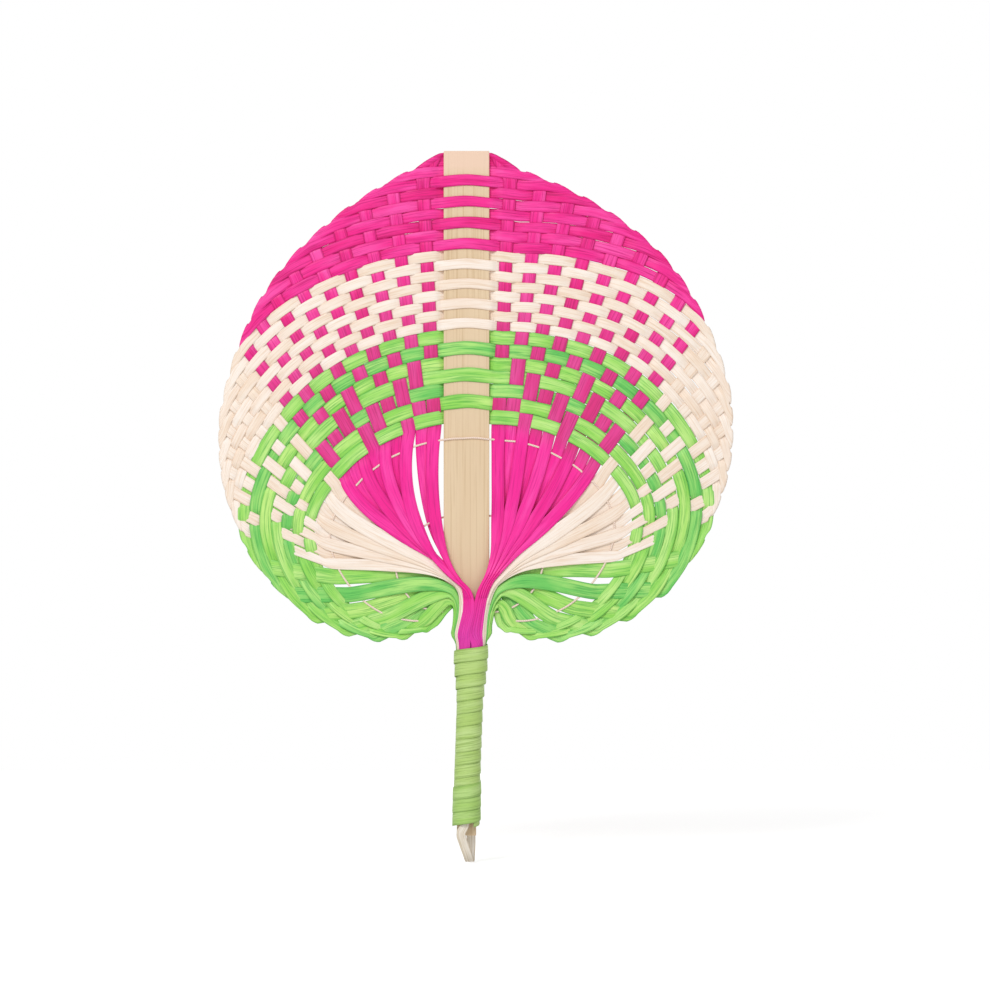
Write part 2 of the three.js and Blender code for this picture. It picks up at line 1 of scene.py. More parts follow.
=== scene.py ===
"""Dresses the woven bamboo hand fan.

The blade is woven from twenty-four flat strips. Each one is unbroken: it rises from the grip on
the left as a column, folds over at the rim, crosses the slat as a row, folds over at the right
rim and comes back down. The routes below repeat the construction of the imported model, with the
sizes that a strip has where it is drawn in full: crowned, undulating and rounded at its folds.
Between the rows and the neck the open columns follow the uneven sides of the hand-made fan.

Lengths are in millimetres and angles in degrees until a mesh is made, which is in metres.
"""

import logging
import math
from abc import ABC, abstractmethod
from collections.abc import Callable
from dataclasses import dataclass, field
from enum import Enum

import bmesh
import bpy
import numpy as np
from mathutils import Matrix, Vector, noise

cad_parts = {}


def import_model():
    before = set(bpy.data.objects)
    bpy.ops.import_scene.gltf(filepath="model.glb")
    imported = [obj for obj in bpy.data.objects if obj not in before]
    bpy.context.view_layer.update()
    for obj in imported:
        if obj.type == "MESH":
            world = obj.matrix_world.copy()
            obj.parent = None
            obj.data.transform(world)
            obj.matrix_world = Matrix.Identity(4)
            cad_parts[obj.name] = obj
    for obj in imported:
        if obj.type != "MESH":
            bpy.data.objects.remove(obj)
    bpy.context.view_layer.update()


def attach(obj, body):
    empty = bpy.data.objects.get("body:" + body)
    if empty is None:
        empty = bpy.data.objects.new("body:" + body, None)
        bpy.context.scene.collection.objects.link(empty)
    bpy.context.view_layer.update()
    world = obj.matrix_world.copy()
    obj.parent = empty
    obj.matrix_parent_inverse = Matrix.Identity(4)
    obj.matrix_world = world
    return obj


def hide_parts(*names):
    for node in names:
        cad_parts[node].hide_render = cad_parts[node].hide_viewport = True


LOG = logging.getLogger("fan")
MM = 0.001
SEED_STEPS = (7.31, 1.73)
SEED_START = 0.37
TINY = 1e-9


def mix(start: float, end: float, share: float) -> float:
    """Return the value that lies a share of the way from start to end."""
    return start + (end - start) * share


def smooth(value: float) -> float:
    """Return a value between 0 and 1 eased at both ends."""
    t = min(1.0, max(0.0, value))
    return t * t * (3 - 2 * t)


def unit(vector: np.ndarray) -> np.ndarray:
    """Return a vector's direction."""
    return vector / np.linalg.norm(vector)


def srgb(code: str) -> tuple[float, float, float, float]:
    """Turn an sRGB hex colour into the linear colour that a shader takes.

    Args:
        code: Six hex digits.

    Returns:
        Linear red, green, blue and alpha.
    """
    channels = [int(code[i : i + 2], 16) / 255 for i in (0, 2, 4)]
    linear = [c / 12.92 if c <= 0.04045 else ((c + 0.055) / 1.055) ** 2.4 for c in channels]
    return (*linear, 1.0)


def add_node(
    tree: bpy.types.NodeTree, kind: str, settings: dict[str, object] | None = None, **links: object
) -> bpy.types.Node:
    """Add a node with its settings and what feeds it.

    Args:
        tree: The node tree.
        kind: The node's type name.
        settings: Properties of the node itself.
        **links: Inputs by name with spaces as underscores, or i and a number for an input by
            place. A socket is linked, a node is linked by its first output, and anything else
            becomes the input's value.

    Returns:
        The new node.
    """
    node = tree.nodes.new(kind)
    for name, value in (settings or {}).items():
        setattr(node, name, value)
    for name, value in links.items():
        by_place = name[0] == "i" and name[1:].isdigit()
        socket = node.inputs[int(name[1:])] if by_place else node.inputs[name.replace("_", " ")]
        if isinstance(value, bpy.types.Node):
            value = value.outputs[0]
        if isinstance(value, bpy.types.NodeSocket):
            tree.links.new(value, socket)
        else:
            socket.default_value = value
    return node


def empty_tree(owner: bpy.types.Material | bpy.types.World) -> bpy.types.NodeTree:
    """Give a material or a world an empty node tree.

    Args:
        owner: The material or world.

    Returns:
        Its node tree.
    """
    owner.use_nodes = True
    owner.node_tree.nodes.clear()
    return owner.node_tree


def add_object(name: str, data: bpy.types.ID) -> bpy.types.Object:
    """Add an object to the scene.

    Args:
        name: Its name.
        data: The mesh, lamp or camera that it holds.

    Returns:
        The object, at the origin.
    """
    added = bpy.data.objects.new(name, data)
    bpy.context.collection.objects.link(added)
    return added


@dataclass(frozen=True)
class Grain:
    """A noise pattern: its size across and along in millimetres, its detail and roughness."""

    width: float
    length: float
    detail: float
    roughness: float = 0.5


@dataclass(frozen=True)
class Finish(ABC):
    """A finish made of nodes."""

    name: str

    def make(self) -> bpy.types.Material:
        """Build the material.

        Returns:
            The material, under the finish's name.
        """
        material = bpy.data.materials.new(self.name)
        tree = empty_tree(material)
        add_node(tree, "ShaderNodeOutputMaterial", Surface=self.shade(tree))
        return material

    @abstractmethod
    def shade(self, tree: bpy.types.NodeTree) -> bpy.types.Node:
        """Add the finish's nodes to a tree and return its shader."""


@dataclass(frozen=True)
class SplitBamboo(Finish):
    """Split bamboo, dyed or natural: satin, with fine fibres along the strip.

    Thin skins of bamboo are soaked in dye and dried, so the colour wanders along the strip, the
    fibres take it unevenly, and the smooth outer side has a soft gloss. The colour is painted
    darker along the split edges, as painted shade where the strips meet. In the woven part it is
    painted deeper, as painted shade where the columns pass under the rows, and where the strip
    lies open it is painted lighter and more magenta, as painted light. The dye has bled and
    turned where the bundle is bound in the neck.

    The fibres run the whole length, so they are drawn thirty times longer than wide. The real
    ones are finer than the render can show.
    """

    base: str
    light: str
    dark: str
    fibres: Grain = Grain(0.55, 16.5, 3.0, 0.6)
    fibre_shift: tuple[float, float] = (1.0, 3.1)
    fibre_range: tuple[float, float] = (0.47, 0.7)
    fibre_share: float = 0.8
    fibre_depth: float = 0.05
    fibre_relief: float = 0.5
    stains: Grain = Grain(3.84615, 26.0, 2.0)
    stain_shift: tuple[float, float] = (5.7, 1.0)
    stain_range: tuple[float, float] = (0.36, 0.66)
    stain: float = 0.8
    # Painted shade: the colour darkens towards each strip's edges, where the strips meet.
    edge_range: tuple[float, float] = (0.45, 1.0)
    edge_shade: float = 0.75
    # Painted shade: a deeper colour in the woven part, fading out between the radii below, where the
    # columns lie under the rows.
    shade_colour: str = "b44b78"
    shade_strength: float = 0.0
    shade_inside: tuple[float, float] = (150.0, 112.0)
    # Painted light: a lighter, more magenta colour inside the woven part's radius, where the strips lie
    # open.
    open_light: str = "ff2cb0"
    open_light_strength: float = 0.0
    woven_outside: tuple[float, float] = (70.0, 77.0)
    bled: str = "cf45b4"
    bleed: float = 0.0
    bound_below: tuple[float, float] = (62.0, 42.0)
    centre: float = 0.0
    roughness: float = 0.46
    smoother: float = 0.08
    rougher: float = 0.12
    rough_range: tuple[float, float] = (0.3, 0.7)
    ior: float = 1.45
    specular: float = 0.32
    seed: float = 0.0

    def shade(self, tree: bpy.types.NodeTree) -> bpy.types.Node:
        """Add the nodes, which read the strip's UV map, u along it and v across it, in metres.

        Args:
            tree: The material's node tree.

        Returns:
            The shader.
        """
        uv = add_node(tree, "ShaderNodeUVMap", {"uv_map": "strip_uv"})
        grains = ((self.fibres, self.fibre_shift), (self.stains, self.stain_shift))
        fibres, stains = (
            add_node(
                tree, "ShaderNodeTexNoise", {"noise_dimensions": "2D"},
                Vector=add_node(
                    tree, "ShaderNodeMapping", Vector=uv,
                    Location=(self.seed * along, self.seed * across, 0),
                    Scale=(1 / (grain.length * MM), 1 / (grain.width * MM), 1),
                ),
                Scale=1.0, Detail=grain.detail, Roughness=grain.roughness,
            )
            for grain, (along, across) in grains
        )
        edge = add_node(tree, "ShaderNodeAttribute", {"attribute_name": "edge"}).outputs["Fac"]
        place = add_node(tree, "ShaderNodeTexCoord").outputs["Object"]
        centre = (0, 0, self.centre * MM)
        away = add_node(
            tree, "ShaderNodeVectorMath", {"operation": "DISTANCE"}, i0=place, i1=centre
        ).outputs["Value"]
        height = add_node(tree, "ShaderNodeSeparateXYZ", i0=place).outputs[2]
        # The edge mask below is painted shade along each strip's edges.
        stained, fibrous, edge_shaded, woven, inside, bound = (
            add_node(
                tree, "ShaderNodeMapRange", Value=source, From_Min=ends[0] * scale,
                From_Max=ends[1] * scale, To_Max=most,
            )
            for source, ends, scale, most in (
                (stains, self.stain_range, 1, self.stain),
                (fibres, self.fibre_range, 1, self.fibre_share),
                (edge, self.edge_range, 1, self.edge_shade),
                (away, self.woven_outside, MM, 1.0),
                (away, self.shade_inside, MM, self.shade_strength),
                (height, self.bound_below, MM, self.bleed),
            )
        )
        # Painted shade of the woven part, where the columns lie under the rows.
        shade_share = add_node(tree, "ShaderNodeMath", {"operation": "MULTIPLY"}, i0=woven, i1=inside)
        # Painted light where the strips lie open.
        open_light = add_node(tree, "ShaderNodeMapRange", Value=woven, To_Min=self.open_light_strength, To_Max=0.0)
        colour = srgb(self.base)
        layers = (
            (stained, self.light), (fibrous, self.dark), (edge_shaded, self.dark),
            (shade_share, self.shade_colour), (open_light, self.open_light), (bound, self.bled),
        )
        for share, tone in layers:
            colour = add_node(
                tree, "ShaderNodeMix", {"data_type": "RGBA"}, i0=share, i6=colour, i7=srgb(tone)
            ).outputs[2]
        rough = add_node(
            tree, "ShaderNodeMapRange", Value=fibres, From_Min=self.rough_range[0],
            From_Max=self.rough_range[1], To_Min=self.roughness - self.smoother,
            To_Max=self.roughness + self.rougher,
        )
        bump = add_node(
            tree, "ShaderNodeBump", Height=fibres, Strength=self.fibre_relief,
            Distance=self.fibre_depth * MM,
        )
        return add_node(
            tree, "ShaderNodeBsdfPrincipled", Base_Color=colour, Roughness=rough, Normal=bump,
            IOR=self.ior, Specular_IOR_Level=self.specular,
        )


@dataclass(frozen=True)
class PlanedSlat(Finish):
    """Planed bamboo: matt, with straight vertical bundles of darker fibre.

    The cut face of a bamboo culm shows its fibre bundles as fine parallel lines, with faint bands
    of tone along the slat. Its tip is made paler and a little pink.
    """

    name: str = "slat_planed_bamboo"
    base: str = "dabe9a"
    light: str = "e5cead"
    dark: str = "c09e71"
    bundles: Grain = Grain(0.9, 60.0, 4.0, 0.65)
    bundle_range: tuple[float, float] = (0.5, 0.74)
    bundle_share: float = 0.7
    bundle_depth: float = 0.06
    bundle_relief: float = 0.35
    bands: Grain = Grain(6.25, 71.4286, 2.0)
    tip: str = "edccb6"
    tip_share: float = 0.8
    tip_heights: tuple[float, float] = (236.0, 242.0)
    roughness: float = 0.6
    ior: float = 1.5

    def shade(self, tree: bpy.types.NodeTree) -> bpy.types.Node:
        """Add the nodes, which read Object coordinates, whose Z runs along the slat.

        Args:
            tree: The material's node tree.

        Returns:
            The shader.
        """
        place = add_node(tree, "ShaderNodeTexCoord").outputs["Object"]
        bundles, bands = (
            add_node(
                tree, "ShaderNodeTexNoise",
                Vector=add_node(
                    tree, "ShaderNodeMapping", Vector=place,
                    Scale=(1 / (grain.width * MM), 1 / (grain.width * MM), 1 / (grain.length * MM)),
                ),
                Scale=1.0, Detail=grain.detail, Roughness=grain.roughness,
            )
            for grain in (self.bundles, self.bands)
        )
        height = add_node(tree, "ShaderNodeSeparateXYZ", Vector=place).outputs[2]
        lined = add_node(
            tree, "ShaderNodeMapRange", Value=bundles, From_Min=self.bundle_range[0],
            From_Max=self.bundle_range[1], To_Max=self.bundle_share,
        )
        tipped = add_node(
            tree, "ShaderNodeMapRange", Value=height, From_Min=self.tip_heights[0] * MM,
            From_Max=self.tip_heights[1] * MM, To_Max=self.tip_share,
        )
        colour = srgb(self.base)
        for share, tone in ((bands, self.light), (lined, self.dark), (tipped, self.tip)):
            colour = add_node(
                tree, "ShaderNodeMix", {"data_type": "RGBA"}, i0=share, i6=colour, i7=srgb(tone)
            ).outputs[2]
        bump = add_node(
            tree, "ShaderNodeBump", Height=bundles, Strength=self.bundle_relief,
            Distance=self.bundle_depth * MM,
        )
        return add_node(
            tree, "ShaderNodeBsdfPrincipled", Base_Color=colour, Roughness=self.roughness,
            Normal=bump, IOR=self.ior,
        )


@dataclass(frozen=True)
class TwistedCotton(Finish):
    """Fine two-ply cotton thread, undyed: matt, with the lay of its plies showing."""

    name: str = "thread_twisted_cotton"
    base: str = "f7e6da"
    dark: str = "e3c6b0"
    lay_length: float = 1.1
    lay_turn: float = 0.6
    plies_per_lay: float = 0.5
    unevenness: float = 0.4
    ply_depth: float = 0.08
    ply_relief: float = 0.6
    roughness: float = 0.85
    sheen: float = 0.3

    def shade(self, tree: bpy.types.NodeTree) -> bpy.types.Node:
        """Add the nodes, which read the thread's UV map.

        Args:
            tree: The material's node tree.

        Returns:
            The shader.
        """
        uv = add_node(tree, "ShaderNodeUVMap", {"uv_map": "strip_uv"})
        lays = 1 / (self.lay_length * MM)
        placed = add_node(
            tree, "ShaderNodeMapping", Vector=uv, Rotation=(0, 0, self.lay_turn), Scale=(lays, lays, 1)
        )
        plies = add_node(
            tree, "ShaderNodeTexWave", {"bands_direction": "X"}, Vector=placed,
            Scale=self.plies_per_lay, Distortion=self.unevenness,
        ).outputs[1]
        coloured = add_node(
            tree, "ShaderNodeMix", {"data_type": "RGBA"},
            i0=plies, i6=srgb(self.dark), i7=srgb(self.base),
        )
        bump = add_node(
            tree, "ShaderNodeBump", Height=plies, Strength=self.ply_relief,
            Distance=self.ply_depth * MM,
        )
        return add_node(
            tree, "ShaderNodeBsdfPrincipled", Base_Color=coloured.outputs[2],
            Roughness=self.roughness, Normal=bump, Sheen_Weight=self.sheen,
        )


@dataclass(frozen=True)
class WhitePaper(Finish):
    """White paper: matt, and lit from within for the camera, so that only shadow shows on it."""

    name: str = "floor_white_paper"
    white: float = 0.85
    glow: float = 0.45

    def shade(self, tree: bpy.types.NodeTree) -> bpy.types.Node:
        """Add the nodes.

        Args:
            tree: The material's node tree.

        Returns:
            The shader.
        """
        ray = add_node(tree, "ShaderNodeLightPath").outputs
        matt = add_node(tree, "ShaderNodeBsdfDiffuse", Color=(self.white, self.white, self.white, 1))
        glow = add_node(tree, "ShaderNodeEmission", Color=(1, 1, 1, 1), Strength=self.glow)
        both = add_node(tree, "ShaderNodeAddShader", i0=matt, i1=glow)
        return add_node(tree, "ShaderNodeMixShader", i0=ray["Is Camera Ray"], i1=matt, i2=both)


class Dye(Enum):
    """The three colours of strip."""

    PINK = "pink"
    CREAM = "cream"
    GREEN = "green"


@dataclass(frozen=True)
class Side:
    """One half of the blade. The hand-made fan is a little fuller on its right."""

    sign: int
    stretch: float
    turn: float


SIDES = (Side(-1, 0.0, 0.0), Side(1, 0.1, 1.8))


@dataclass(frozen=True)
class Ramp:
    """A change that begins at a place and is eased over a span."""

    start: float
    span: float

    def at(self, place: float) -> float:
        """Return the share of the change that is done at a place."""
        return smooth((place - self.start) / self.span)


@dataclass(frozen=True)
class Waver:
    """A slow, repeatable waver of hand work: its size, its scale and what parts the two sides."""

    size: float
    scale: float
    side_seed: float = 0.0

    def at(self, seed: float, place: float, sign: int = 0) -> float:
        """Return the waver at a place along a strip or thread.

        Args:
            seed: Tells one strip or thread from another.
            place: Where along it.
            sign: The side of the blade, where the sides differ.

        Returns:
            A value between about plus and minus the waver's size.
        """
        told = seed + self.side_seed * sign
        point = (place / self.scale, told * SEED_STEPS[0] + SEED_START, told * SEED_STEPS[1])
        return self.size * noise.noise(Vector(point))


@dataclass(frozen=True)
class Gathering:
    """How the open strips of one colour draw together, from the first strip to the last.

    A strip first keeps its direction for a share of the way, moved outwards by the spread. Then
    it comes in over a point beside and above its place in the neck. The strips by the slat are
    pulled in towards it.
    """

    beside: tuple[float, float]
    above: tuple[float, float]
    kept: tuple[float, float]
    spread: tuple[float, float]
    pulled_in: float = 0.0


@dataclass(frozen=True)
class StripColour:
    """How the strips of one colour are laid and dyed.

    The edges in the neck go from the first strip to the last, and the widening of the columns
    from the inner rows to the outer ones. Each tone is a base, a light and a dark colour.
    """

    dye: Dye
    count: int
    row_pitch: float
    column_pitch: float
    join_height: float
    neck_edges: tuple[float, float]
    left: Gathering
    right: Gathering
    column_widening: tuple[float, float]
    open_width: float
    bunching: float
    # Painted shade along each strip's edges, where the strips meet.
    edge_shade: float
    tones: tuple[tuple[str, str, str], ...]
    bleed: float = 0.0
    # Painted shade in the woven part.
    shade_strength: float = 0.0
    # Painted light where the strips lie open.
    open_light_strength: float = 0.0


COLOURS = (
    StripColour(
        Dye.PINK, 9, row_pitch=4.5, column_pitch=4.35, join_height=22, neck_edges=(1.4, 5.4),
        left=Gathering((25.5, 7.5), (10, 18), (0.5, 0.5), (12, 10), 8),
        right=Gathering((12.5, 13.5), (17, 21), (0.62, 0.6), (0.5, 5.5)),
        column_widening=(0.22, 0.13), open_width=5.4, bunching=0.42, edge_shade=0.55,
        tones=(
            ("f2238d", "fd4aaa", "be0f69"),
            ("ec1c82", "f93c9e", "b50a60"),
            ("f52b92", "ff58b1", "c71673"),
        ),
        bleed=0.5, shade_strength=0.35, open_light_strength=0.3,
    ),
    StripColour(
        Dye.CREAM, 8, row_pitch=4.2, column_pitch=3.4, join_height=19, neck_edges=(5.7, 6.9),
        left=Gathering((7, 4), (19, 19.5), (0.5, 0.15), (9.5, 2.5)),
        right=Gathering((12, 9.5), (22, 22), (0.58, 0.2), (5.5, 1.5)),
        column_widening=(0.0, 0.0), open_width=6.2, bunching=0.42, edge_shade=0.35,
        tones=(
            ("f5e3d3", "faeee3", "e8cdb3"),
            ("f3dfcc", "f8ebde", "e5c8ac"),
            ("f7e8da", "fbf1e8", "ecd4bd"),
        ),
    ),
    StripColour(
        Dye.GREEN, 7, row_pitch=5.65, column_pitch=8.0, join_height=16, neck_edges=(7.2, 9.0),
        left=Gathering((3, 3), (20, 10), (0.2, 0.4), (0, 0)),
        right=Gathering((7.5, 7), (22, 11), (0.2, 0.4), (0, 0)),
        column_widening=(0.35, 0.5), open_width=6.6, bunching=0.12, edge_shade=0.65,
        tones=(
            ("94d85c", "cdf18c", "5cb14a"),
            ("9bdb64", "c8ee90", "60b64e"),
            ("72ca62", "baea82", "4aaa4e"),
        ),
    ),
)

# Which strip shows on top in the green rows, for columns 1 to 17 and rows 18 to 24: a c where the
# column does and an r where the row does.
GREEN_DRAFT = (
    "rcrrrcr", "crccrcr", "rcrccrc", "crcrcrr", "rcrrccr", "crccrcc", "rcrccrr", "crcrcrr", "rcrrccr",
    "crccrrc", "rcrccrr", "rccrcrr", "crccrcr", "crrccrc", "crrcrrc", "rcrrccr", "crrrrcc",
)


@dataclass(frozen=True)
class Strip:
    """One of the twenty-four strips, numbered from 1 at the tip."""

    number: int
    colour: StripColour
    place: int
    radius: float
    angle: float
    pitch: float

    @property
    def name(self) -> str:
        """The strip's node."""
        return f"{self.colour.dye.value}_strip_{self.place}"

    @property
    def share(self) -> float:
        """How far through its colour the strip is, from 0 to 1."""
        return (self.place - 1) / (self.colour.count - 1)


@dataclass
class Layout:
    """The plan of the blade: where rows and columns run.

    The rows are arcs about the fan's centre, which lies on the slat above the neck. Directions
    are angles from the slat, and columns aim beside the centre, just outside the slat.
    """

    grip_length: float = 77.0
    neck_height: float = 21.0
    inner_row_radius: float = 76.5
    first_column_angle: float = 7.35
    first_green_angle: float = 82.0
    evenly_spaced_columns: int = 12
    shoulder_angle: float = 66.0
    shoulder_softness: float = 4.0
    inward_rate: float = 0.835
    flank: Ramp = Ramp(28.0, 40.0)
    flank_crowding: float = 0.13
    lobe: Ramp = Ramp(70.0, 50.0)
    lobe_crowding: float = 0.21
    lean_start: float = 8.0
    lean_end: float = 128.0
    slat_width: float = 19.4
    slat_thickness: float = 1.6
    aim_beside_slat: float = 0.6
    column_reference_radius: float = 125.0
    strip_width: float = 4.9
    pink_column_gap: float = 1.15
    column_gap: float = 0.5
    rim_draw: float = 2.2
    fold_limit: float = 0.6
    solving_passes: int = 6
    strips: list[Strip] = field(default_factory=list)

    def __post_init__(self) -> None:
        """Work out every strip's row radius and column angle."""
        plan = [(colour, place) for colour in COLOURS for place in range(1, colour.count + 1)]
        radii = [self.inner_row_radius]
        for (outer, _), (inner, _) in zip(reversed(plan[:-1]), reversed(plan[1:])):
            radii.append(radii[-1] + (outer.row_pitch + inner.row_pitch) / 2)
        radii.reverse()
        angle = 0.0
        for number, ((colour, place), radius) in enumerate(zip(plan, radii), start=1):
            before = angle
            if number == 1:
                angle = self.first_column_angle
            elif colour.dye is Dye.GREEN and place == 1:
                angle = self.first_green_angle
            elif number <= self.evenly_spaced_columns:
                angle += COLOURS[0].column_pitch
            else:
                angle += colour.column_pitch
            self.strips.append(Strip(number, colour, place, radius, angle, angle - before))

    @property
    def last(self) -> int:
        """Number of the innermost strip."""
        return len(self.strips)

    @property
    def first_green(self) -> int:
        """Number of the first green strip."""
        return self.last - COLOURS[-1].count + 1

    @property
    def collar_top(self) -> float:
        """Height at which the wound grip starts."""
        return self.grip_length / 2

    @property
    def centre_height(self) -> float:
        """Height of the fan's centre."""
        return self.collar_top + self.neck_height

    def strip(self, number: int) -> Strip:
        """Return a strip by its number."""
        return self.strips[number - 1]

    def inner_radius(self, angle: float) -> float:
        """Find the innermost row's radius, which bends in towards the neck past the shoulder.

        Args:
            angle: Direction from the slat.

        Returns:
            The radius.
        """
        past = angle - self.shoulder_angle
        bend = (past + math.hypot(past, 2 * self.shoulder_softness)) / 2
        return self.inner_row_radius - self.inward_rate * bend

    def crowding(self, angle: float) -> float:
        """Return how closely the rows lie in a direction, 1 being their own pitch."""
        return 1 - self.flank_crowding * self.flank.at(angle) - self.lobe_crowding * self.lobe.at(angle)

    def row_radius(self, number: int, angle: float) -> float:
        """Return a row's radius in a direction."""
        past_inner = self.strip(number).radius - self.inner_row_radius
        return self.inner_radius(angle) + past_inner * self.crowding(angle)

    def column_width(self, number: int, radius: float) -> float:
        """Return a column's width at a radius."""
        gap = self.pink_column_gap if number <= COLOURS[0].count else self.column_gap
        return min(self.strip_width, math.radians(self.strip(number).pitch) * radius - gap)

    def column_angle(self, number: int, radius: float, beside: float = 0.0) -> float:
        """Return the direction of a point beside a column's middle line.

        Args:
            number: The column, or 0 for the slat.
            radius: Distance from the fan's centre.
            beside: Distance from the middle line, away from the slat.

        Returns:
            The angle from the slat.
        """
        if number == 0:
            return math.degrees(math.asin(beside / radius))
        green = self.strip(number).angle >= self.first_green_angle
        offset = 0.0 if green else self.slat_width / 2 + self.aim_beside_slat
        drift = offset * (1 / radius - 1 / self.column_reference_radius)
        return self.strip(number).angle + math.degrees(drift + beside / radius)

    def point(self, side: Side, angle: float, radius: float) -> np.ndarray:
        """Return a point of the blade as x and z.

        Args:
            side: The half of the blade.
            angle: Direction from the slat.
            radius: Distance from the fan's centre.

        Returns:
            The point's x and z.
        """
        share = min(max(angle - self.lean_start, 0), self.lean_end - self.lean_start)
        lean = math.sin(share / (self.lean_end - self.lean_start) * math.pi)
        turned = math.radians(angle - side.turn * lean)
        reach = radius * (1 + side.stretch * lean)
        x = side.sign * reach * math.sin(turned)
        return np.array([x, self.centre_height + reach * math.cos(turned)])

    def row_in_front(self, row: int, column: int) -> bool:
        """Tell whether a row passes in front of a column.

        Args:
            row: The row's number.
            column: The column's number, or 0 for the slat.

        Returns:
            True where the row is in front.
        """
        if column == 0:
            return row % 2 == 1 and row > 1
        if row >= self.first_green and column <= len(GREEN_DRAFT):
            return GREEN_DRAFT[column - 1][row - self.first_green] == "r"
        return (row + column) % 2 == 1

    def rim(self, number: int, side: Side) -> tuple[float, np.ndarray, np.ndarray, bool]:
        """Find where a strip turns at the rim.

        Args:
            number: The strip.
            side: The half of the blade.

        Returns:
            The direction of the turn, the directions in which the strip arrives and leaves, and
            whether it is folded over.
        """
        angle = self.strip(number).angle
        arriving, leaving = self._rim_directions(number, side, angle)
        folded = float(arriving @ leaving) < self.fold_limit
        draw = self.rim_draw * self.crowding(angle) if folded else 0.0
        for _ in range(self.solving_passes):
            angle = self.column_angle(number, self.row_radius(number, angle), -draw)
        return (angle, *self._rim_directions(number, side, angle), folded)

    def _rim_directions(self, number: int, side: Side, angle: float) -> tuple[np.ndarray, np.ndarray]:
        """Find the directions in which a strip arrives at the rim and leaves it.

        Args:
            number: The strip.
            side: The half of the blade.
            angle: Direction in which it meets the rim.

        Returns:
            Both directions as x and z.
        """
        radius = self.row_radius(number, angle)
        before = self.point(side, angle - 1, self.row_radius(number, angle - 1))
        arriving = self.point(side, angle, radius) - before
        column = self.point(side, self.column_angle(number, radius), radius)
        leaving = self.point(side, self.column_angle(number, radius - 1), radius - 1) - column
        return unit(arriving), unit(leaving)


@dataclass
class Station:
    """A section of a strip: its middle, half its width, half its thickness and a bulge."""

    middle: np.ndarray
    across: np.ndarray
    thickness: float
    bulge: np.ndarray = field(default_factory=lambda: np.zeros(3))


def at_depth(flat: np.ndarray, y: float) -> np.ndarray:
    """Return the point of the blade's plane moved to a depth."""
    return np.array([flat[0], y, flat[1]])


def undulate(place: float, knots: list[tuple[float, float, float]]) -> float:
    """Return the height of a strip that lies flat at each knot and swings over between them.

    Args:
        place: Where along the strip.
        knots: Place, half length of the flat and height, in order of place.

    Returns:
        The height there.
    """
    if place <= knots[0][0]:
        return knots[0][2]
    for (start, start_half, low), (end, end_half, high) in zip(knots, knots[1:]):
        if place <= end:
            left = start + start_half
            right = end - end_half
            if right <= left:
                left, right = start, end
            return mix(low, high, smooth((place - left) / (right - left)))
    return knots[-1][2]


def bezier(points: list[np.ndarray], t: float) -> np.ndarray:
    """Find a point of a cubic curve.

    Args:
        points: The curve's four points.
        t: Share of the way along it.

    Returns:
        The point.
    """
    a, b, c, d = points
    s = 1 - t
    return s**3 * a + 3 * s * s * t * b + 3 * s * t * t * c + t**3 * d


def bezier_heading(points: list[np.ndarray], t: float) -> np.ndarray:
    """Find the direction of a cubic curve.

    Args:
        points: The curve's four points.
        t: Share of the way along it.

    Returns:
        The direction.
    """
    a, b, c, d = points
    s = 1 - t
    return unit(s * s * (b - a) + 2 * s * t * (c - b) + t * t * (d - c))


def spline(route: list[Vector], steps: int) -> list[np.ndarray]:
    """Lay a smooth curve through a route.

    Args:
        route: The points that it passes.
        steps: Steps between each pair of them.

    Returns:
        Points along the curve.
    """
    ends = [route[0] * 2 - route[1], *route, route[-1] * 2 - route[-2]]
    points = []
    for p0, p1, p2, p3 in zip(ends, ends[1:], ends[2:], ends[3:]):
        for index in range(steps):
            t = index / steps
            point = 0.5 * (
                2 * p1 + (p2 - p0) * t + (2 * p0 - 5 * p1 + 4 * p2 - p3) * t * t
                + (3 * p1 - p0 - 3 * p2 + p3) * t**3
            )
            points.append(np.array(point))
    points.append(np.array(route[-1]))
    return points


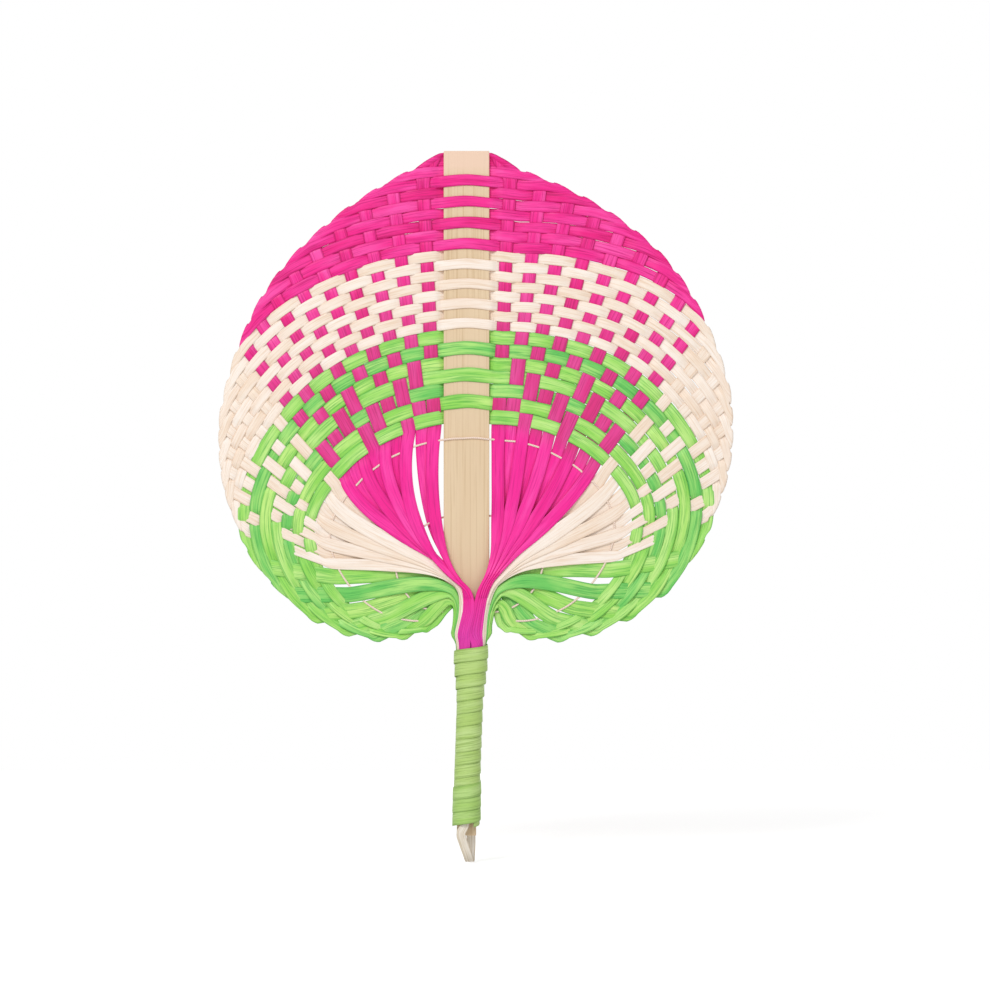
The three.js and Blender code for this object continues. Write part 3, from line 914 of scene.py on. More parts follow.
@dataclass
class Weaver:
    """Lays each strip's route, from the slat over the rim to the bottom of the grip.

    The ramps of an open strip run over the share of its way from the rows to the bundle.
    """

    layout: Layout
    step: float = 1.0
    tangent_step: float = 0.3
    crown: float = 0.27
    row_lift: float = 0.46
    row_flat_share: float = 0.53
    most_flat: float = 0.37
    row_end_flat: float = 0.5
    row_waver: Waver = Waver(0.22, 11, 40)
    row_waver_angle: float = 10.0
    row_gap: float = -0.2
    gap_waver: Waver = Waver(0.5, 6, 11)
    least_row_steps: int = 8
    in_lobe: Ramp = Ramp(56.0, 40.0)
    lobe_widening: float = 0.2
    lobe_tilt: float = 0.22
    slat_clearance: float = 0.2
    slat_gap: float = 0.08
    slat_arch: float = 0.5
    arch_margin: float = 2.0
    slat_angle: float = 4.5
    first_row_rise: float = 1.2
    first_row_widening: float = 0.35
    rim_droop: float = 1.2
    rim_droop_length: float = 10.0
    column_lift: float = 0.27
    flat_share: float = 0.43
    column_end_flat: float = 0.3
    column_draw_length: float = 6.0
    column_waver: Waver = Waver(0.3, 22, 90)
    column_waver_length: float = 8.0
    outer_rows: Ramp = Ramp(95.0, 30.0)
    least_width: float = 1.6
    least_column_steps: int = 2
    last_column_overrun: float = 1.5
    rim_tip_height: float = 4.0
    fold_bulge: float = 0.45
    fold_turns: tuple[int, ...] = (-60, -30, 0, 30, 60)
    crease_along_rim: float = 0.8
    least_crease_sine: float = 0.42
    crease_fade: float = 1.5
    rounding_length: float = 3.2
    bend_cut: int = 3
    bend_shares: tuple[float, ...] = (0.25, 0.5, 0.75)
    bend_reach: float = 0.6
    least_outward: float = 0.1
    open_waver: Waver = Waver(1.4, 1, 60)
    open_waver_step: float = 3.7
    least_open_steps: int = 10
    most_open_widening: float = 1.5
    opening: Ramp = Ramp(0.0, 0.15)
    drawing_in: Ramp = Ramp(0.45, 0.3)
    letting_out: Ramp = Ramp(0.9, 0.1)
    narrowing: Ramp = Ramp(0.55, 0.45)
    leaving_rows: Ramp = Ramp(0.0, 0.07)
    flattening: Ramp = Ramp(0.0, 0.12)
    thickening: Ramp = Ramp(0.6, 0.3)
    shed_depth: float = 0.38
    least_room: float = 0.4
    steepest: float = 0.5
    settled: float = 0.85
    settle_power: float = 2.3
    open_thickness: float = 0.2
    streak_thickness: float = 0.42
    streak_width: float = 2.1
    packed_thickness: float = 0.15
    first_layer: float = 1.02
    layer_pitch: float = 0.36
    left_over_right: float = 0.25
    half_width: float = 4.8
    oval_margin: float = 0.65
    collar_flare: float = 1.8
    collar_height: float = 24.5
    opening_height: float = 5.0
    pinch: float = 0.84
    pinch_height: float = 20.0
    neck_shift: float = 1.9
    neck_lean: float = 2.0
    lean_height: float = 22.0
    seam_shift: float = -1.8
    seam_overlap: float = 0.5
    centre_gap: float = 0.3
    bundle_step: float = 1.6
    least_bundle_steps: int = 4
    strips_above_loop: int = 4
    end_above_loop: float = -21.5
    lowest_end: float = -34.0
    corner_reach: float = 7.0
    corner_passes: int = 24
    strips_by_slat: int = 2

    def layer_depth(self, number: int) -> float:
        """Return how deep a strip lies in the grip, in front of the tang or behind it."""
        return self.first_layer + (self.layout.last - number) // 2 * self.layer_pitch

    @property
    def half_depth(self) -> float:
        """Half the depth of the grip's oval."""
        return self.layer_depth(1) + self.oval_margin

    def grip_half_width(self, z: float) -> float:
        """Return half the width of the strips' oval at a height."""
        start = self.layout.collar_top - self.collar_height
        return self.half_width + self.collar_flare * smooth((z - start) / self.collar_height)

    def grip_centre(self, z: float) -> float:
        """Return the sideways place of the grip's middle at a height."""
        return self.neck_shift * smooth(z / self.layout.grip_length + 0.5)

    def grip_station(self, number: int, side: Side, z: float, folded: bool) -> Station:
        """Find a strip's section in the grip.

        Args:
            number: The strip.
            side: The half of the blade that it comes from.
            z: Height.
            folded: Whether the strip is folded over at the rim.

        Returns:
            The section.
        """
        strip = self.layout.strip(number)
        depth = self.layer_depth(number)
        room = self.grip_half_width(z) * math.sqrt(1 - (depth / self.half_depth) ** 2)
        height = z - self.layout.collar_top
        open_share = smooth(height / self.opening_height)
        pinched = smooth(height / self.pinch_height)
        edge = mix(*strip.colour.neck_edges, strip.share)
        edge = mix(room, edge * mix(1, self.pinch, pinched), open_share)
        widest = mix(self.layout.strip_width, self.streak_width, open_share)
        overlap = mix(-self.centre_gap / 2, self.seam_overlap, open_share)
        width = min(widest, edge + overlap)
        seam = self.seam_shift * open_share * (1 - pinched)
        lean = self.neck_lean * smooth(height / self.lean_height)
        x = self.grip_centre(z) + lean + seam * (1 - edge / COLOURS[-1].neck_edges[1])
        x += side.sign * (edge - width / 2)
        if side.sign < 0:
            depth += self.left_over_right * open_share
        y = -depth if number % 2 else depth
        across = (side.sign if folded else -side.sign) * width / 2
        thickness = mix(self.packed_thickness, self.streak_thickness, open_share)
        return Station(np.array([x, y, z]), np.array([across, 0.0, 0.0]), thickness)

    def row_knots(self, number: int, rim_angle: float) -> list[tuple[float, float, float]]:
        """Find where a row lies over or under the slat and the columns.

        Args:
            number: The strip.
            rim_angle: Where the row ends.

        Returns:
            Knots for undulate, with angles as places.
        """
        layout = self.layout
        slat_half = layout.slat_width / 2 + self.slat_clearance
        slat_end = layout.column_angle(0, layout.row_radius(number, 0), slat_half)
        slat_height = layout.slat_thickness / 2 + self.crown + self.slat_gap
        knots = [(0.0, slat_end, -slat_height if layout.row_in_front(number, 0) else slat_height)]
        for column in range(1, number):
            at = layout.row_radius(number, layout.strip(column).angle)
            middle = layout.column_angle(column, at)
            flat = math.degrees(self.row_flat_share * layout.column_width(column, at) / at)
            flat = min(flat, self.most_flat * layout.strip(column).pitch)
            height = -self.row_lift if layout.row_in_front(number, column) else self.row_lift
            knots.append((middle, flat, height))
        return [*knots, (rim_angle, self.row_end_flat, -self.row_lift)]

    def row_point(self, number: int, side: Side, rim_angle: float, angle: float) -> np.ndarray:
        """Find a point of a row's middle line in the blade's plane.

        Args:
            number: The strip.
            side: The half of the blade.
            rim_angle: Where the row ends.
            angle: Direction from the slat.

        Returns:
            The point's x and z.
        """
        layout = self.layout
        waver = self.row_waver.at(number, angle, side.sign) * smooth(angle / self.row_waver_angle)
        slat_half = layout.slat_width / 2 + self.arch_margin
        beside = layout.row_radius(number, 0) * math.sin(math.radians(angle)) / slat_half
        arch = self.slat_arch * (1 - smooth(abs(beside)))
        droop = self.droop(number, rim_angle, angle)
        rise = self.first_row_rise * self.beside_slat(angle) if number == 1 else 0.0
        radius = layout.row_radius(number, angle) + waver + arch + rise - droop
        return layout.point(side, angle, radius)

    def row(self, number: int, side: Side, rim_angle: float) -> list[Station]:
        """Lay a row from the slat's middle to the rim.

        Args:
            number: The strip.
            side: The half of the blade.
            rim_angle: Where the row ends.

        Returns:
            Its stations, evenly spaced, with the middle of the slat first.
        """
        layout = self.layout
        knots = self.row_knots(number, rim_angle)
        length = math.radians(rim_angle) * layout.row_radius(number, rim_angle / 2)
        count = max(self.least_row_steps, round(length / self.step))
        stations = []
        for index in range(count + 1):
            angle = rim_angle * index / count
            ahead = self.row_point(number, side, rim_angle, angle + self.tangent_step)
            behind = self.row_point(number, side, rim_angle, max(angle - self.tangent_step, 0))
            tangent = unit(ahead - behind)
            inwards = side.sign * np.array([tangent[1], -tangent[0]])
            radial = layout.point(side, angle, 1) - layout.point(side, angle, 0)
            square = abs(float(radial @ inwards)) / np.linalg.norm(radial)
            gap = self.row_gap + self.gap_waver.at(number, angle, side.sign)
            pitch = layout.strip(number).colour.row_pitch * layout.crowding(angle) * square
            in_lobe = self.in_lobe.at(angle)
            width = (pitch - gap) * (1 + self.lobe_widening * in_lobe)
            if number == 1:
                width *= 1 + self.first_row_widening * self.beside_slat(angle)
            height = undulate(angle, knots)
            middle = at_depth(self.row_point(number, side, rim_angle, angle), height)
            across = at_depth(inwards, self.lobe_tilt * in_lobe) * width / 2
            stations.append(Station(middle, across, self.crown))
        return stations

    def beside_slat(self, angle: float) -> float:
        """Return 1 in the directions just beside the slat and 0 at its middle and farther out."""
        return smooth(angle / self.slat_angle) * (1 - smooth(angle / self.slat_angle / 2 - 1))

    def droop(self, number: int, rim_angle: float, angle: float) -> float:
        """Return how far a row sinks towards the next one as it nears the rim."""
        left = math.radians(rim_angle - angle) * self.layout.row_radius(number, angle)
        return self.rim_droop * self.layout.crowding(angle) * smooth(1 - left / self.rim_droop_length)

    def slant(
        self, stations: list[Station], forwards: np.ndarray, crease: np.ndarray, outward: np.ndarray
    ) -> None:
        """Turn the sections next to a fold towards its crease, and round the fold outwards.

        Args:
            stations: Stations in order of distance from the fold, the nearest first.
            forwards: Direction of the strip towards or away from the fold.
            crease: Half the crease, from its middle.
            outward: Direction out of the fold.
        """
        start = stations[0].middle.copy()
        reach = abs(float(crease @ forwards))
        for station in stations:
            distance = float(np.linalg.norm((station.middle - start)[[0, 2]]))
            share = smooth(1 - distance / (2 * reach + self.crease_fade))
            station.across = station.across * (1 - share) + at_depth(crease, 0) * share
            rounding = smooth(1 - distance / self.rounding_length)
            station.bulge = at_depth(outward * self.fold_bulge * rounding, 0)

    def column(self, number: int, side: Side, rim_angle: float, folded: bool) -> list[Station]:
        """Lay a column from the rim to just past the innermost row.

        Args:
            number: The strip.
            side: The half of the blade.
            rim_angle: Where the strip meets the rim.
            folded: Whether it is folded over there.

        Returns:
            Its stations, the rim first.
        """
        layout = self.layout
        strip = layout.strip(number)
        outer = layout.row_radius(number, rim_angle) - self.droop(number, rim_angle, rim_angle)
        inner = self.column_end(number)
        drawn = outer * math.radians(layout.column_angle(number, outer) - rim_angle)
        knots = [(-outer, self.column_end_flat, self.column_lift)]
        for row in range(number + 1, layout.last + 1):
            at = layout.row_radius(row, strip.angle)
            flat = self.flat_share * layout.strip(row).colour.row_pitch * layout.crowding(strip.angle)
            height = self.column_lift if layout.row_in_front(row, number) else -self.column_lift
            knots.append((-at, flat, height))
        count = max(self.least_column_steps, round((outer - inner) / self.step))

        def flat_point(radius: float) -> np.ndarray:
            """Find a point of the column's middle line in the blade's plane.

            Args:
                radius: Distance from the fan's centre.

            Returns:
                The point's x and z.
            """
            beside = -drawn * smooth(1 - (outer - radius) / self.column_draw_length)
            waver = self.column_waver.at(number, radius, side.sign)
            waver *= smooth((outer - radius) / self.column_waver_length)
            return layout.point(side, layout.column_angle(number, radius, beside + waver), radius)

        stations = []
        for index in range(count + 1):
            radius = mix(outer, inner, index / count)
            tangent = unit(flat_point(radius - self.tangent_step) - flat_point(radius + self.tangent_step))
            away = side.sign * np.array([-tangent[1], tangent[0]])
            widening = mix(*strip.colour.column_widening, self.outer_rows.at(radius))
            width = max(layout.column_width(number, radius) * (1 + widening), self.least_width)
            sign = 1 if folded else -1
            middle = at_depth(flat_point(radius), undulate(-radius, knots))
            stations.append(Station(middle, at_depth(sign * away * width / 2, 0), self.crown))
        return stations

    def column_end(self, number: int) -> float:
        """Find the radius at which a column has passed the innermost row.

        Args:
            number: The strip.

        Returns:
            The radius.
        """
        layout = self.layout
        angle = layout.strip(number).angle
        pitch = layout.strip(layout.last).colour.row_pitch
        if number == layout.last:
            return layout.inner_radius(angle) - self.last_column_overrun
        half = layout.column_width(number, layout.inner_radius(angle)) / 2
        for _ in range(layout.solving_passes):
            radius = layout.inner_radius(angle) - pitch * layout.crowding(angle) / 2
            angle = layout.column_angle(number, radius, half)
        return radius

    def rim_heading(self, number: int, side: Side) -> np.ndarray:
        """Find the direction of the rim where a strip folds over, away from the tip.

        Args:
            number: The strip.
            side: The half of the blade.

        Returns:
            The direction as x and z.
        """
        layout = self.layout
        points = [layout.point(side, 0, layout.row_radius(1, 0) + self.rim_tip_height)]
        points[0][0] = side.sign * layout.slat_width / 2
        for near in (number - 1, number + 1):
            angle = layout.rim(near, side)[0] if 1 <= near <= layout.last else 0
            if angle:
                points.append(layout.point(side, angle, layout.row_radius(near, angle)))
        return unit(points[-1] - points[-2])

    def fold(
        self, number: int, side: Side, row: list[Station], column: list[Station],
        arriving: np.ndarray, leaving: np.ndarray,
    ) -> list[Station]:
        """Turn a strip over at the rim.

        The crease lies nearly along the rim, so that the end of the row tapers.

        Args:
            number: The strip.
            side: The half of the blade.
            row: Stations of the row, the rim last.
            column: Stations of the column, the rim first.
            arriving: Direction in which the row reaches the rim.
            leaving: Direction in which the column leaves it.

        Returns:
            The stations between them.
        """
        bisector = unit(arriving + leaving)
        heading = self.rim_heading(number, side)
        crease = unit(bisector * (1 - self.crease_along_rim) + heading * self.crease_along_rim)
        outward = np.array([crease[1], -crease[0]])
        outward *= math.copysign(1, float(outward @ (arriving - leaving)))
        sine = max(abs(float(crease[0] * arriving[1] - crease[1] * arriving[0])), self.least_crease_sine)
        crease *= float(np.linalg.norm(row[-1].across)) / sine
        self.slant(row[::-1], arriving, crease, outward)
        self.slant(column, leaving, crease, outward)
        stations = []
        for turn in self.fold_turns:
            tilt = math.radians(turn)
            share = (turn + 90) / 180
            middle = (row[-1].middle + column[0].middle) / 2
            middle = middle + at_depth(outward * self.column_lift * math.cos(tilt), 0)
            middle[1] = self.column_lift * math.sin(tilt)
            across = row[-1].across * (1 - share) + column[0].across * share
            stations.append(Station(middle, across, self.crown, row[-1].bulge.copy()))
        return stations

    def bend(self, row: list[Station], column: list[Station]) -> list[Station]:
        """Round the corner of a strip that isn't folded over, by easing its ends together.

        Args:
            row: Stations of the row, the rim last, which lose their end.
            column: Stations of the column, the rim first, which lose their start.

        Returns:
            The stations between them.
        """
        del row[-self.bend_cut :]
        del column[:1]
        start = row[-1]
        end = column[0]
        stations = []
        for share in self.bend_shares:
            middle = (1 - share) * start.middle + share * end.middle
            corner = self.bend_reach * math.sin(share * math.pi)
            outward = -(start.across + end.across)
            middle = middle + corner * outward / max(np.linalg.norm(outward), self.least_outward)
            across = start.across * (1 - share) + end.across * share
            stations.append(Station(middle, across, self.crown))
        return stations

    def curve(self, number: int, side: Side) -> list[np.ndarray]:
        """Plan a strip's way from the inner row to the bundle of the neck.

        Args:
            number: The strip.
            side: The half of the blade.

        Returns:
            The four points of the curve, as x and z.
        """
        layout = self.layout
        strip = layout.strip(number)
        radius = self.column_end(number)
        start = layout.point(side, layout.column_angle(number, radius), radius)
        inside = layout.point(side, layout.column_angle(number, radius - 1), radius - 1)
        end_z = layout.collar_top + strip.colour.join_height
        end = np.array([self.grip_station(number, side, end_z, False).middle[0], end_z])
        drawn = strip.colour.left if side.sign < 0 else strip.colour.right
        beside, above, kept_share, spread = (
            mix(*ends, strip.share) for ends in (drawn.beside, drawn.above, drawn.kept, drawn.spread)
        )
        pulled_in = drawn.pulled_in if number <= self.strips_by_slat else 0.0
        gather = end + np.array([side.sign * (beside - pulled_in), above])
        reach = np.linalg.norm(gather - start) * kept_share
        kept = start + unit(inside - start) * reach
        kept[0] += side.sign * (spread - pulled_in)
        kept[0] += self.open_waver.at(number, number * self.open_waver_step, side.sign)
        return [start, kept, gather, end]

    def open_stations(self, number: int, side: Side, start: Station, folded: bool) -> list[Station]:
        """Lay a strip from the inner row to the bundle of the neck.

        Strips of one parity lie over each other like shingles as they draw together, each with
        its outer edge on the next.

        Args:
            number: The strip.
            side: The half of the blade.
            start: The last station in the rows.
            folded: Whether the strip is folded over at the rim.

        Returns:
            The stations after it.
        """
        layout = self.layout
        colour = layout.strip(number).colour
        points = self.curve(number, side)
        points[0] = start.middle[[0, 2]]
        others = [self.curve(n, side) for n in (number - 2, number + 2) if 1 <= n <= layout.last]
        length = float(np.linalg.norm(points[3] - points[0]))
        count = max(self.least_open_steps, round(length / self.step))
        first_width = 2 * float(np.linalg.norm(start.across))
        full_width = min(colour.open_width, first_width * self.most_open_widening)
        last = self.grip_station(number, side, points[3][1], folded)
        last_width = 2 * float(np.linalg.norm(last.across))
        front = -1 if number % 2 else 1
        stations = []
        for index in range(1, count + 1):
            t = index / count
            middle = bezier(points, t)
            heading = bezier_heading(points, t)
            away = side.sign * np.array([-heading[1], heading[0]])
            widened = mix(first_width, full_width, self.opening.at(t))
            bunched = self.drawing_in.at(t) * (1 - self.letting_out.at(t))
            width = mix(widened, last_width, self.narrowing.at(t))
            width *= 1 - colour.bunching * bunched
            rooms = [abs(float((bezier(other, t) - middle) @ away)) for other in others]
            room = max(min(rooms), self.least_room)
            settled = min(1.0, t / self.settled) ** self.settle_power
            target = mix(self.shed_depth, self.layer_depth(number), settled) * front
            y = mix(start.middle[1], target, self.leaving_rows.at(t))
            stacked = self.layer_pitch * settled
            thickness = mix(self.crown, self.open_thickness, self.flattening.at(t))
            thickness = mix(thickness, self.streak_thickness, self.thickening.at(t))
            lapped = max(0.0, (2 * thickness - stacked) / room)
            slope = min(self.steepest, lapped) if width > room else 0.0
            sign = 1 if folded else -1
            across = at_depth(away * width / 2, front * slope * width / 2) * sign
            stations.append(Station(at_depth(middle, y), across, thickness))
        return stations

    def half(self, number: int, side: Side) -> list[Station]:
        """Lay half a strip.

        Args:
            number: The strip.
            side: The half of the blade.

        Returns:
            Its stations, from the slat to the bottom of the grip.
        """
        top = self.layout.collar_top
        rim_angle, arriving, leaving, folded = self.layout.rim(number, side)
        row = self.row(number, side, rim_angle)
        column = self.column(number, side, rim_angle, folded)
        if folded:
            turn = self.fold(number, side, row, column, arriving, leaving)
        else:
            turn = self.bend(row, column)
        way = self.open_stations(number, side, column[-1], folded)
        join = way[-1].middle[2]
        count = max(self.least_bundle_steps, round((join - top) / self.bundle_step))
        heights = [mix(join, top, index / count) for index in range(1, count + 1)]
        heights += [top - self.collar_height / 2, top - self.collar_height]
        heights.append(self.end_above_loop if number <= self.strips_above_loop else self.lowest_end)
        grip = [self.grip_station(number, side, z, folded) for z in heights]
        self.ease_corner(way, grip)
        return row + turn + column + way + grip

    def ease_corner(self, before: list[Station], after: list[Station]) -> None:
        """Round the corner where a strip joins the bundle, by evening out the stations near it.

        Args:
            before: Stations up to the corner.
            after: Stations past it.
        """
        corner = before[-1].middle.copy()
        stations = before + after
        near = [
            index for index, station in enumerate(stations[:-1])
            if index and np.linalg.norm(station.middle - corner) < self.corner_reach
        ]
        for _ in range(self.corner_passes):
            for index in near:
                either_side = stations[index - 1].middle + stations[index + 1].middle
                stations[index].middle = stations[index].middle / 2 + either_side / 4

    def whole(self, number: int) -> list[Station]:
        """Lay a whole strip, from the left end in the grip to the right one."""
        left, right = (self.half(number, side) for side in SIDES)
        return left[:0:-1] + right


class RibbonTree:
    """Geometry Nodes that sweep a lens-shaped section along a path.

    The path is a line of vertices that carry how far each section reaches across and out, and
    how much it bulges. The result is one closed body with its own UV map.
    """

    VECTORS = ("centre", "across", "out", "bulge")
    INPUTS = (
        ("Section Points", "NodeSocketInt"), ("Groove Depth", "NodeSocketFloat"),
        ("Grooves", "NodeSocketFloat"), ("Flatness", "NodeSocketFloat"),
        ("Material", "NodeSocketMaterial"),
    )
    # The sums for each point of a section, from its place x and y on a circle. A flat strip with
    # rounded edges has the circle's height to a power below one, and grooves run along it.
    SUMS = (
        ("phase", "MULTIPLY", "x", "Grooves"),
        ("wave", "COSINE", "phase"),
        ("ridge", "MULTIPLY_ADD", "wave", "Groove Depth", 1.0),
        ("rise", "ABSOLUTE", "y"),
        ("flat", "POWER", "rise", "Flatness"),
        ("side", "SIGN", "y"),
        ("signed", "MULTIPLY", "flat", "side"),
        ("height", "MULTIPLY", "signed", "ridge"),
        ("square", "MULTIPLY", "x", "x"),
        ("middle", "SUBTRACT", 1.0, "square"),
        ("beside", "MULTIPLY", "x", "reach"),
    )

    def __init__(self) -> None:
        """Build the node tree."""
        self.tree = bpy.data.node_groups.new("ribbon_along_path", "GeometryNodeTree")
        face = self.tree.interface
        face.new_socket(name="Path", in_out="INPUT", socket_type="NodeSocketGeometry")
        self.inputs = {}
        for name, kind in self.INPUTS:
            socket = face.new_socket(name=name, in_out="INPUT", socket_type=kind)
            self.inputs[name] = socket.identifier
        face.new_socket(name="Ribbon", in_out="OUTPUT", socket_type="NodeSocketGeometry")
        self._wire()

    def _wire(self) -> None:
        """Add the nodes and link them."""
        tree = self.tree
        given = add_node(tree, "NodeGroupInput").outputs
        path = add_node(tree, "GeometryNodeMeshToCurve", Mesh=given["Path"])
        circle = add_node(
            tree, "GeometryNodeCurvePrimitiveCircle", Resolution=given["Section Points"], Radius=1.0
        )
        marked = add_node(
            tree, "GeometryNodeStoreNamedAttribute", {"data_type": "FLOAT_VECTOR", "domain": "POINT"},
            Geometry=circle, Name="ring", Value=add_node(tree, "GeometryNodeInputPosition"),
        )
        swept = add_node(
            tree, "GeometryNodeCurveToMesh", Curve=path, Profile_Curve=marked, Fill_Caps=True
        )
        kinds = {name: "FLOAT_VECTOR" for name in (*self.VECTORS, "ring")} | {"run": "FLOAT"}
        read = {
            name: add_node(
                tree, "GeometryNodeInputNamedAttribute", {"data_type": kind}, Name=name
            ).outputs[0]
            for name, kind in kinds.items()
        }
        ring = add_node(tree, "ShaderNodeSeparateXYZ", i0=read["ring"]).outputs
        reach = add_node(tree, "ShaderNodeVectorMath", {"operation": "LENGTH"}, i0=read["across"])
        values = {name: given[name] for name, _ in self.INPUTS}
        values |= {"x": ring[0], "y": ring[1], "reach": reach.outputs["Value"]}
        for name, operation, *terms in self.SUMS:
            inputs = {f"i{place}": values.get(term, term) for place, term in enumerate(terms)}
            values[name] = add_node(tree, "ShaderNodeMath", {"operation": operation}, **inputs)
        total = read["centre"]
        for name, amount in (("across", "x"), ("out", "height"), ("bulge", "middle")):
            scaled = add_node(
                tree, "ShaderNodeVectorMath", {"operation": "SCALE"}, i0=read[name], Scale=values[amount]
            )
            total = add_node(tree, "ShaderNodeVectorMath", {"operation": "ADD"}, i0=total, i1=scaled)
        shape = add_node(tree, "GeometryNodeSetPosition", Geometry=swept, Position=total)
        uv = add_node(tree, "ShaderNodeCombineXYZ", i0=read["run"], i1=values["beside"])
        # The edge value grows to 1 at a section's sides, and the finishes paint shade along it.
        stored = (("edge", "FLOAT", "POINT", values["square"]), ("strip_uv", "FLOAT2", "CORNER", uv))
        for name, kind, domain, value in stored:
            shape = add_node(
                tree, "GeometryNodeStoreNamedAttribute", {"data_type": kind, "domain": domain},
                Geometry=shape, Name=name, Value=value,
            )
        shaded = add_node(tree, "GeometryNodeSetShadeSmooth", Geometry=shape)
        real = add_node(tree, "GeometryNodeRealizeInstances", Geometry=shaded)
        dressed = add_node(tree, "GeometryNodeSetMaterial", Geometry=real, Material=given["Material"])
        add_node(tree, "NodeGroupOutput", Ribbon=dressed)

    def sweep(
        self, name: str, stations: list[Station], material: bpy.types.Material,
        points: int = 20, groove_depth: float = 0.0, grooves: float = 0.0, flatness: float = 0.5,
    ) -> bpy.types.Object:
        """Make a ribbon.

        Args:
            name: The new object's name.
            stations: Its sections in millimetres.
            material: Its finish.
            points: Points round a section.
            groove_depth: How deep the grooves along it are, as a share of its thickness.
            grooves: How closely they lie, as waves across half the width, in radians.
            flatness: Power of the section's height: 1 is an oval, less is flatter.

        Returns:
            An object whose mesh holds the ribbon in metres.
        """
        middle, across, bulge, thickness = (
            np.array([getattr(station, part) for station in stations])
            for part in ("middle", "across", "bulge", "thickness")
        )
        out = np.cross(across, np.gradient(middle, axis=0))
        out /= np.maximum(np.linalg.norm(out, axis=1, keepdims=True), TINY)
        steps = np.linalg.norm(np.diff(middle, axis=0), axis=1)
        run = np.concatenate([[0.0], np.cumsum(steps)])
        mesh = bpy.data.meshes.new(name)
        mesh.from_pydata((middle * MM).tolist(), [(i, i + 1) for i in range(len(stations) - 1)], [])
        vectors = (middle, across, out * thickness[:, None], bulge)
        for label, values in zip(self.VECTORS, vectors):
            attribute = mesh.attributes.new(label, "FLOAT_VECTOR", "POINT")
            attribute.data.foreach_set("vector", (values * MM).astype(np.float32).ravel())
        attribute = mesh.attributes.new("run", "FLOAT", "POINT")
        attribute.data.foreach_set("value", (run * MM).astype(np.float32))
        piece = add_object(name, mesh)
        modifier = piece.modifiers.new("ribbon", "NODES")
        modifier.node_group = self.tree
        given = (points, groove_depth, grooves, flatness, material)
        for (label, _), value in zip(self.INPUTS, given):
            modifier[self.inputs[label]] = value
        return make_plain(piece)


def make_plain(piece: bpy.types.Object) -> bpy.types.Object:
    """Turn an object's evaluated result into its plain mesh, with its faces pointing out.

    Args:
        piece: The object.

    Returns:
        The same object.
    """
    graph = bpy.context.evaluated_depsgraph_get()
    mesh = bpy.data.meshes.new_from_object(piece.evaluated_get(graph))
    piece.modifiers.clear()
    piece.data = mesh
    work = bmesh.new()
    work.from_mesh(mesh)
    bmesh.ops.recalc_face_normals(work, faces=work.faces)
    work.to_mesh(mesh)
    work.free()
    for name in (*RibbonTree.VECTORS, "ring", "run"):
        if name in mesh.attributes:
            mesh.attributes.remove(mesh.attributes[name])
    return piece


def place_piece(piece: bpy.types.Object, slot: str, *nodes: str) -> None:
    """Ride a piece on the fan, and hide the nodes that it replaces.

    Args:
        piece: The piece.
        slot: The slot for its finish; not used.
        *nodes: The nodes that it stands for.
    """
    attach(piece, "root")
    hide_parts(*nodes)
    LOG.info("%s: %d faces", piece.name, len(piece.data.polygons))


@dataclass
class Blade:
    """The twenty-four woven strips."""

    weaver: Weaver
    ribbon: RibbonTree
    seed_step: float = 0.83
    points: int = 22
    groove_depth: float = 0.16
    grooves: float = 9.4

    def build(self) -> None:
        """Make every strip."""
        for strip in self.weaver.layout.strips:
            colour = strip.colour
            base, light, dark = colour.tones[strip.place % len(colour.tones)]
            finish = SplitBamboo(
                f"{strip.name}_dyed_bamboo", base, light, dark, seed=strip.number * self.seed_step,
                bleed=colour.bleed, shade_strength=colour.shade_strength, open_light_strength=colour.open_light_strength,
                centre=self.weaver.layout.centre_height, edge_shade=colour.edge_shade,
            )
            piece = self.ribbon.sweep(
                f"woven_{strip.name}", self.weaver.whole(strip.number), finish.make(),
                points=self.points, groove_depth=self.groove_depth, grooves=self.grooves,
            )
            place_piece(piece, f"{colour.dye.value}_strip", strip.name)


